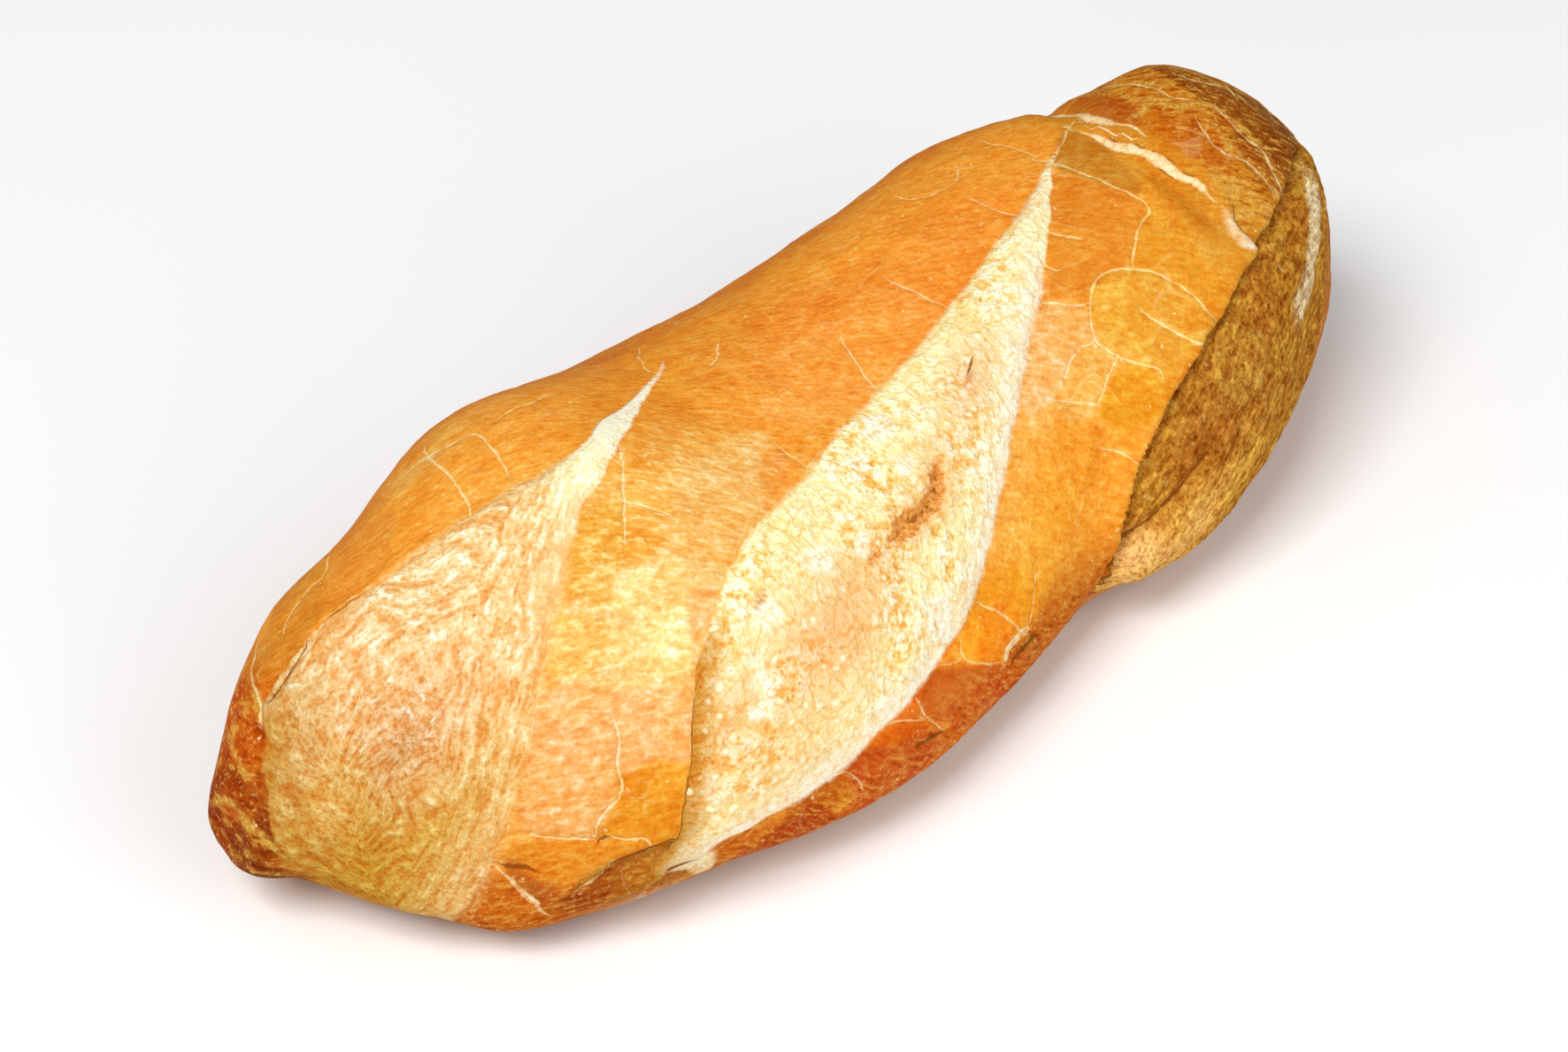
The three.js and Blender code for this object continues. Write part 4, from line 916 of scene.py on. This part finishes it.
def bread():
    m = Nodes("bread")
    place = m.attr("place").outputs["Vector"]
    wrapped = m.attr("wrapped").outputs["Vector"]
    skin_x, skin_s, near_edge = m.split(m.attr("skin").outputs["Vector"])
    swirl_at = m.attr("swirl").outputs["Vector"]
    by_edge = m.attr("by_edge").outputs["Vector"]
    in1, in2, in3 = m.split(m.attr("slash").outputs["Vector"])
    soft, lip_shadow_amount, mottle = m.split(m.attr("edge").outputs["Vector"])
    cr_signed, cr_dist, cr_width = m.split(m.attr("crack").outputs["Vector"])
    dk_signed, dk_dist, dk_width = m.split(m.attr("crease").outputs["Vector"])
    pale_band_and_sheen, crumb_crease, rustic = m.split(m.attr("zone").outputs["Vector"])
    gate_net, gate_fleck, seam = m.split(m.attr("gates").outputs["Vector"])
    crust = m.attr("crust_colour").outputs["Color"]
    crumb = m.attr("crumb_colour").outputs["Color"]

    def shade(colour, amount, factor):
        """The colour, multiplied by the factor to the amount."""
        return m.mix(amount, colour, m.mix(1.0, colour, factor, "MULTIPLY"))

    def along_skin(degrees, slow, scale):
        """A place that changes slowly in one direction over the skin and fast across it."""
        co, si = math.cos(math.radians(degrees)) * scale, math.sin(math.radians(degrees)) * scale
        node = m.new("ShaderNodeCombineXYZ")
        m.link(m.add(m.mul(skin_x, co * slow), m.mul(skin_s, si * slow)), node.inputs[0])
        m.link(m.add(m.mul(skin_x, -si), m.mul(skin_s, co)), node.inputs[2])
        return node.outputs[0]

    fine = m.noise(place, 1.05, 2.0, 0.6)
    small = m.noise(place, 0.42, 2.0, 0.55)
    # one more noise, drawn out along the grain of each zone
    on1, on2, on3 = (m.math("GREATER_THAN", v, -0.3) for v in (in1, in2, in3))
    is_edge = m.math("GREATER_THAN", m.add(near_edge, m.mul(m.sub(small, 0.5), 0.8)), 0.5)
    grain = m.mix(on1, along_skin(36, 0.34, 0.80), m.mix(is_edge, m.vec("SCALE", swirl_at, 0.56), m.vec("SCALE", by_edge, 0.60)))
    grain = m.mix(on2, grain, m.vec("SCALE", place, 0.34))
    at_end = m.math("GREATER_THAN", m.add(m.mag(skin_x), m.mul(m.sub(small, 0.5), 14.0)), 142.0)
    at_end = m.top(at_end, m.math("GREATER_THAN", m.add(m.split(by_edge)[1], m.mul(m.sub(small, 0.5), 0.5)), 0.5))
    grain = m.mix(on3, grain, along_skin(146, 0.36, 0.60))
    grain = m.mix(at_end, grain, m.vec("MULTIPLY", place, (0.45, 0.20, 0.45)))
    flow = m.noise(grain, 1.0, 3.0, 0.62)
    spots_node = m.new("ShaderNodeTexVoronoi", feature="F1", voronoi_dimensions="3D")
    m.link(wrapped, spots_node.inputs["Vector"])
    spots_node.inputs["Scale"].default_value = 0.40
    spots, spot_rank = spots_node.outputs["Distance"], m.split(spots_node.outputs["Color"])[0]

    # ---- crust ----
    cell = m.split(m.voronoi(wrapped, 0.075, out="Color"))
    cell_edge = m.voronoi(wrapped, 0.075, "DISTANCE_TO_EDGE")

    c = crust
    # each plate of crust has its own tone
    c = shade(c, m.mul(m.step(cell[0], 0.50, 0.95), 0.50), (1.03, 1.18, 1.55))
    c = shade(c, m.mul(m.step(cell[1], 0.45, 1.0), 0.60), (0.92, 0.78, 0.64))
    # grain and stretch marks
    c = shade(c, m.mul(m.step(flow, 0.50, 0.68), 0.85), (1.03, 1.30, 2.2))
    c = shade(c, m.mul(m.step(flow, 0.50, 0.34), 0.80), (0.92, 0.74, 0.60))
    c = shade(c, m.mul(m.step(small, 0.51, 0.68), 0.60), (1.04, 1.26, 1.8))
    c = shade(c, m.mul(m.step(small, 0.47, 0.31), 0.60), (0.92, 0.76, 0.60))
    c = shade(c, m.mul(m.step(fine, 0.53, 0.68), 0.55), (1.04, 1.36, 2.4))
    c = shade(c, m.mul(m.step(fine, 0.47, 0.33), 0.50), (0.88, 0.70, 0.55))
    # the pale band is streaky and nearly straw-coloured; its pale tone is partly painted sheen
    c = m.mix(m.mul(m.mul(m.step(flow, 0.49, 0.66), pale_band_and_sheen), 0.50), c, (0.90, 0.72, 0.30))
    # the ends and the foot are rougher: dark between, ochre specks
    c = m.mix(m.mul(m.mul(rustic, m.step(flow, 0.49, 0.34)), 0.85), c, m.mix(1.0, c, (0.62, 0.40, 0.36), "MULTIPLY"))
    c = m.mix(m.mul(m.mul(rustic, m.step(flow, 0.52, 0.66)), 0.70), c, (0.68, 0.37, 0.050))
    c = m.mix(m.mul(m.mul(rustic, m.step(fine, 0.57, 0.70)), 0.45), c, (0.80, 0.52, 0.15))
    c = m.mix(m.mul(seam, m.step(m.add(flow, small), 0.80, 1.06, 0.25, 0.95)), c, m.mix(m.step(fine, 0.42, 0.62), (0.50, 0.24, 0.030), (0.68, 0.42, 0.085)))
    # pale flecks
    c = m.mix(m.mul(m.mul(m.step(spots, 0.18, 0.09), m.mul(gate_fleck, m.step(spot_rank, 0.35, 0.45))), 0.70), c, (0.92, 0.70, 0.34))
    # net of fine pale cracks
    pale = m.mix(0.5, m.mix(1.0, c, (1.15, 1.8, 4.0), "MULTIPLY"), (0.90, 0.66, 0.34))
    wander = m.add(m.mul(m.sub(fine, 0.5), 0.55), m.mul(m.sub(small, 0.5), 0.35))
    net = m.mul(m.step(m.add(cell_edge, m.mul(wander, 0.03)), 0.022, 0.008), gate_net)
    line = m.sub(m.mag(m.add(cr_signed, wander)), m.mul(cr_width, 0.66))
    line = m.mul(m.step(line, 0.22, -0.10), m.step(cr_dist, 1.5, 1.0))
    line = m.mul(line, m.step(cr_width, 0.02, 0.10))
    c = m.mix(m.mul(net, 0.24), c, pale)
    c = m.mix(m.mul(line, m.step(small, 0.34, 0.52, 0.60, 0.95)), c, pale)
    # wide torn strips are cream, and their broken dark rims are painted shadow
    across = m.mag(m.add(cr_signed, m.mul(wander, 1.2)))
    is_wide = m.step(cr_width, 0.55, 0.75)
    wide = m.mul(m.step(m.sub(across, m.mul(cr_width, 0.95)), 0.45, -0.15), m.mul(is_wide, m.step(cr_dist, 3.0, 2.4)))
    c = m.mix(m.mul(wide, m.step(small, 0.30, 0.46, 0.55, 0.95)), c, m.mix(m.step(m.add(flow, fine), 0.84, 1.04), (0.78, 0.52, 0.21), (0.90, 0.73, 0.43)))
    torn_rim_shadow = m.mul(m.step(m.mag(m.sub(across, m.add(m.mul(cr_width, 0.95), 0.35))), 0.35, 0.1),
                      m.mul(m.mul(is_wide, m.step(cr_dist, 3.2, 2.6)), m.step(small, 0.48, 0.60)))
    c = m.mix(m.mul(torn_rim_shadow, 0.75), c, (0.30, 0.085, 0.012))
    crust_out = c

    # ---- crumb ----
    dots = m.mul(m.step(spots, 0.13, 0.05), m.mul(gate_fleck, m.step(spot_rank, 0.55, 0.65)))
    near_crease = m.add(crumb_crease, m.mul(m.add(m.sub(small, 0.5), m.mul(m.sub(fine, 0.5), 0.8)), 1.1))

    k2 = crumb
    spotty = m.step(mottle, 0.0, 1.0, 0.35, 1.15)
    k2 = shade(k2, m.mul(m.step(flow, 0.50, 0.60), m.mul(spotty, 0.90)), (1.05, 1.12, 1.45))
    k2 = shade(k2, m.mul(m.step(flow, 0.49, 0.38), m.mul(spotty, 0.95)), (0.97, 0.68, 0.36))
    k2 = shade(k2, m.mul(m.step(small, 0.47, 0.35), m.mul(spotty, 0.80)), (0.97, 0.74, 0.42))
    k2 = shade(k2, m.mul(m.step(small, 0.53, 0.65), m.mul(spotty, 0.70)), (1.05, 1.12, 1.40))
    k2 = shade(k2, m.mul(m.step(fine, 0.46, 0.34), m.mul(spotty, 0.80)), (0.93, 0.66, 0.38))
    k2 = shade(k2, m.mul(m.step(fine, 0.54, 0.68), 0.50), (1.03, 1.10, 1.35))
    veins = m.add(m.voronoi(wrapped, 0.24, "DISTANCE_TO_EDGE"), m.mul(wander, 0.30))
    k2 = shade(k2, m.mul(m.mul(m.step(veins, 0.10, 0.0), m.step(flow, 0.38, 0.52)), m.step(mottle, 0.2, 0.8, 0.80, 0.35)), (0.97, 0.70, 0.42))
    k2 = m.mix(1.0, k2, (1.0, 0.93, 0.72), "DARKEN")
    blister = m.add(spots, m.mul(m.sub(fine, 0.5), 0.45))
    k2 = m.mix(m.mul(m.mul(m.step(blister, 0.36, 0.16), m.step(spot_rank, 0.50, 0.62)), 0.65), k2, (0.97, 0.91, 0.68))
    k2 = shade(k2, m.mul(m.mul(m.step(m.mag(m.sub(blister, 0.47)), 0.07, 0.0), m.step(spot_rank, 0.42, 0.55)), m.mul(spotty, 0.75)), (0.90, 0.60, 0.32))
    k2 = m.mix(m.mul(dots, 0.60), k2, (0.45, 0.17, 0.03))
    k2 = shade(k2, m.mul(m.step(near_crease, 2.6, 0.9), 0.55), (0.96, 0.62, 0.36))
    k2 = m.mix(m.mul(m.step(near_crease, 1.15, 0.80), 0.90), k2, m.mix(m.step(fine, 0.38, 0.60), (0.60, 0.20, 0.028), (0.80, 0.36, 0.075)))
    # painted shade: the darkest thin line along one side of the crease's bottom
    k2 = m.mix(m.mul(m.mul(m.step(near_crease, 0.32, 0.10), m.step(small, 0.60, 0.45)), 0.80), k2, (0.30, 0.075, 0.008))

    k1 = crumb
    calm = m.step(mottle, 0.0, 1.0, 0.15, 1.0)
    k1 = shade(k1, m.mul(m.step(flow, 0.50, 0.64), 0.75), (1.12, 1.32, 1.75))
    k1 = shade(k1, m.mul(m.step(flow, 0.50, 0.38), m.mul(calm, 0.90)), (0.94, 0.68, 0.42))
    k1 = shade(k1, m.mul(m.step(small, 0.47, 0.34), m.mul(calm, 0.75)), (0.96, 0.70, 0.42))
    k1 = shade(k1, m.mul(m.step(small, 0.53, 0.66), 0.55), (1.06, 1.18, 1.45))
    k1 = shade(k1, m.mul(m.step(fine, 0.48, 0.36), m.mul(calm, 0.80)), (0.88, 0.66, 0.40))
    k1 = shade(k1, m.mul(m.step(fine, 0.54, 0.66), 0.65), (1.08, 1.22, 1.60))
    k1 = shade(k1, m.mul(m.step(m.sub(flow, small), -0.10, -0.24), m.mul(calm, 0.55)), (0.90, 0.60, 0.34))
    k1 = shade(k1, m.mul(m.step(m.add(flow, small), 1.10, 1.26), m.mul(calm, 0.55)), (1.14, 1.28, 1.65))
    k1 = m.mix(1.0, k1, (1.0, 0.94, 0.70), "DARKEN")
    k1 = m.mix(m.mul(dots, m.mul(calm, 0.60)), k1, (0.34, 0.14, 0.045))

    k3 = crumb
    along_it = m.step(mottle, 0.0, 1.0, 0.30, 1.0)
    k3 = shade(k3, m.mul(m.step(flow, 0.51, 0.64), m.mul(along_it, 0.90)), (1.46, 1.66, 1.90))
    k3 = shade(k3, m.mul(m.step(flow, 0.49, 0.36), m.mul(along_it, 0.95)), (0.64, 0.42, 0.30))
    k3 = shade(k3, m.mul(m.step(fine, 0.48, 0.36), 0.85), (0.66, 0.46, 0.34))
    k3 = shade(k3, m.mul(m.step(fine, 0.54, 0.66), 0.75), (1.30, 1.46, 1.60))
    k3 = shade(k3, m.mul(m.step(small, 0.48, 0.34), 0.70), (0.76, 0.54, 0.42))
    k3 = shade(k3, m.mul(m.step(small, 0.54, 0.66), 0.60), (1.25, 1.38, 1.50))
    k3 = m.mix(m.mul(m.mul(m.step(m.add(spots, m.mul(m.sub(fine, 0.5), 0.9)), 0.36, 0.14), m.step(spot_rank, 0.62, 0.72)), 0.42), k3, (0.76, 0.50, 0.13))
    k3 = m.mix(m.mul(dots, 0.65), k3, (0.14, 0.045, 0.008))

    k = m.mix(m.math("GREATER_THAN", in2, -3.5), k1, k2)
    k = m.mix(m.math("GREATER_THAN", in3, -3.5), k, k3)
    crumb_out = k

    # ---- crust meets crumb ----
    ragged = m.add(m.mul(m.sub(small, 0.5), 0.8), m.mul(m.sub(fine, 0.5), 0.4))
    far_from = m.mul(soft, -1.0)
    mask = m.step(m.add(m.top(m.top(in1, in2), in3), ragged), far_from, soft)
    colour = m.mix(mask, crust_out, crumb_out)
    at_edge = m.low(m.low(m.mag(m.add(in1, m.mul(ragged, 0.4))), m.mag(m.add(in2, m.mul(ragged, 0.4)))), m.mag(m.add(in3, m.mul(ragged, 0.4))))
    # painted shade: a dark line where a crust lip overhangs the crumb and in the creases where crust laps over crust
    dark = m.mul(m.step(at_edge, 0.42, 0.10), m.mul(lip_shadow_amount, m.step(small, 0.32, 0.50, 0.35, 1.0)))
    crease = m.mul(m.mul(m.step(m.sub(m.mag(m.add(dk_signed, m.mul(wander, 0.6))), m.mul(dk_width, 0.7)), 0.22, -0.10), m.step(dk_dist, 1.5, 1.0)),
                   m.step(dk_width, 0.02, 0.10))
    colour = m.mix(m.mul(m.top(dark, crease), 0.85), colour, (0.19, 0.050, 0.006))

    # ---- surface ----
    h = m.mul(m.sub(fine, 0.5), m.step(mask, 0.0, 1.0, 0.50, 0.95))
    h = m.add(h, m.mul(m.sub(small, 0.5), 0.5))
    h = m.add(h, m.mul(m.sub(flow, 0.5), m.step(mask, 0.0, 1.0, 0.6, 2.0)))
    h = m.sub(h, m.mul(line, 0.25))
    bump = m.new("ShaderNodeBump")
    bump.inputs["Strength"].default_value = 0.7
    bump.inputs["Distance"].default_value = 0.0008
    m.link(h, bump.inputs["Height"])

    shader = m.new("ShaderNodeBsdfPrincipled")
    m.link(colour, shader.inputs["Base Color"])
    rough = m.add(m.step(small, 0.3, 0.7, 0.44, 0.56), m.mul(mask, 0.26))
    m.link(rough, shader.inputs["Roughness"])
    shader.inputs["Specular IOR Level"].default_value = 0.005
    m.link(bump.outputs[0], shader.inputs["Normal"])
    out = m.new("ShaderNodeOutputMaterial")
    m.link(shader.outputs[0], out.inputs["Surface"])
    return m.mat


mesh.materials.append(bread())
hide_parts("loaf")
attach(loaf, "root")

# ---------------------------------------------------------------------------
# floor, light and camera
# ---------------------------------------------------------------------------
floor_mesh = bpy.data.meshes.new("floor")
floor_mesh.from_pydata([(-3, -3, 0), (3, -3, 0), (3, 3, 0), (-3, 3, 0)], [], [(0, 1, 2, 3)])
floor = bpy.data.objects.new("floor", floor_mesh)
bpy.context.scene.collection.objects.link(floor)
f = Nodes("pale_floor")
fs = f.new("ShaderNodeBsdfPrincipled")
f.link(f.mix(f.step(f.noise(f.new("ShaderNodeTexCoord").outputs["Object"], 3.0, 2.0, 0.5), 0.3, 0.7), (0.90, 0.903, 0.906), (0.93, 0.932, 0.934)), fs.inputs["Base Color"])
fs.inputs["Roughness"].default_value = 0.75
fs.inputs["Specular IOR Level"].default_value = 0.2
fo = f.new("ShaderNodeOutputMaterial")
f.link(fs.outputs[0], fo.inputs["Surface"])
floor_mesh.materials.append(f.mat)

# camera, from the loaf's outline in the photo
AZ, EL, ROLL = math.radians(-39.123), math.radians(37.678), math.radians(-1.701)
FOCAL_PX, DISTANCE = 4238.0, 0.848
TARGET = Vector((0.00737, 0.01568 - MIDDLE_Y / 1000.0, 0.0))
back = Vector((math.sin(AZ) * math.cos(EL), -math.cos(AZ) * math.cos(EL), math.sin(EL)))
right = Vector((math.cos(AZ), math.sin(AZ), 0.0))
up = back.cross(right)
right_r = right * math.cos(ROLL) + up * math.sin(ROLL)
up_r = up * math.cos(ROLL) - right * math.sin(ROLL)
cam_data = bpy.data.cameras.new("camera")
cam_data.sensor_fit = "HORIZONTAL"
cam_data.sensor_width = 36.0
cam_data.lens = FOCAL_PX * 36.0 / 1772.0
cam = bpy.data.objects.new("camera", cam_data)
cam.matrix_world = Matrix((
    (right_r.x, up_r.x, back.x, TARGET.x + back.x * DISTANCE),
    (right_r.y, up_r.y, back.y, TARGET.y + back.y * DISTANCE),
    (right_r.z, up_r.z, back.z, TARGET.z + back.z * DISTANCE),
    (0, 0, 0, 1)))
bpy.context.scene.collection.objects.link(cam)
bpy.context.scene.camera = cam


def softbox(name, offset, size, watts, colour=(1, 1, 1)):
    """A square soft light at an offset (right, back, up) from the loaf, as the camera sees it."""
    flat_back = Vector((back.x, back.y, 0)).normalized()
    place = right * offset[0] + flat_back * offset[1] + Vector((0, 0, offset[2]))
    data = bpy.data.lights.new(name, "AREA")
    data.shape = "SQUARE"
    data.size = size
    data.energy = watts
    data.color = colour
    obj = bpy.data.objects.new(name, data)
    aim = (Vector((0, 0, 0.04)) - place).normalized()
    obj.matrix_world = Matrix.Translation(place) @ aim.to_track_quat("-Z", "Y").to_matrix().to_4x4()
    bpy.context.scene.collection.objects.link(obj)


softbox("key", (-0.8, 1.1, 2.0), 1.2, 46.0)
softbox("fill", (1.6, 1.3, 1.3), 2.0, 26.0)
world = bpy.data.worlds.new("studio")
world.use_nodes = True
world.node_tree.nodes["Background"].inputs[0].default_value = (1.0, 1.0, 1.0, 1.0)
world.node_tree.nodes["Background"].inputs[1].default_value = 0.31
bpy.context.scene.world = world
bpy.context.scene.view_settings.view_transform = "Standard"
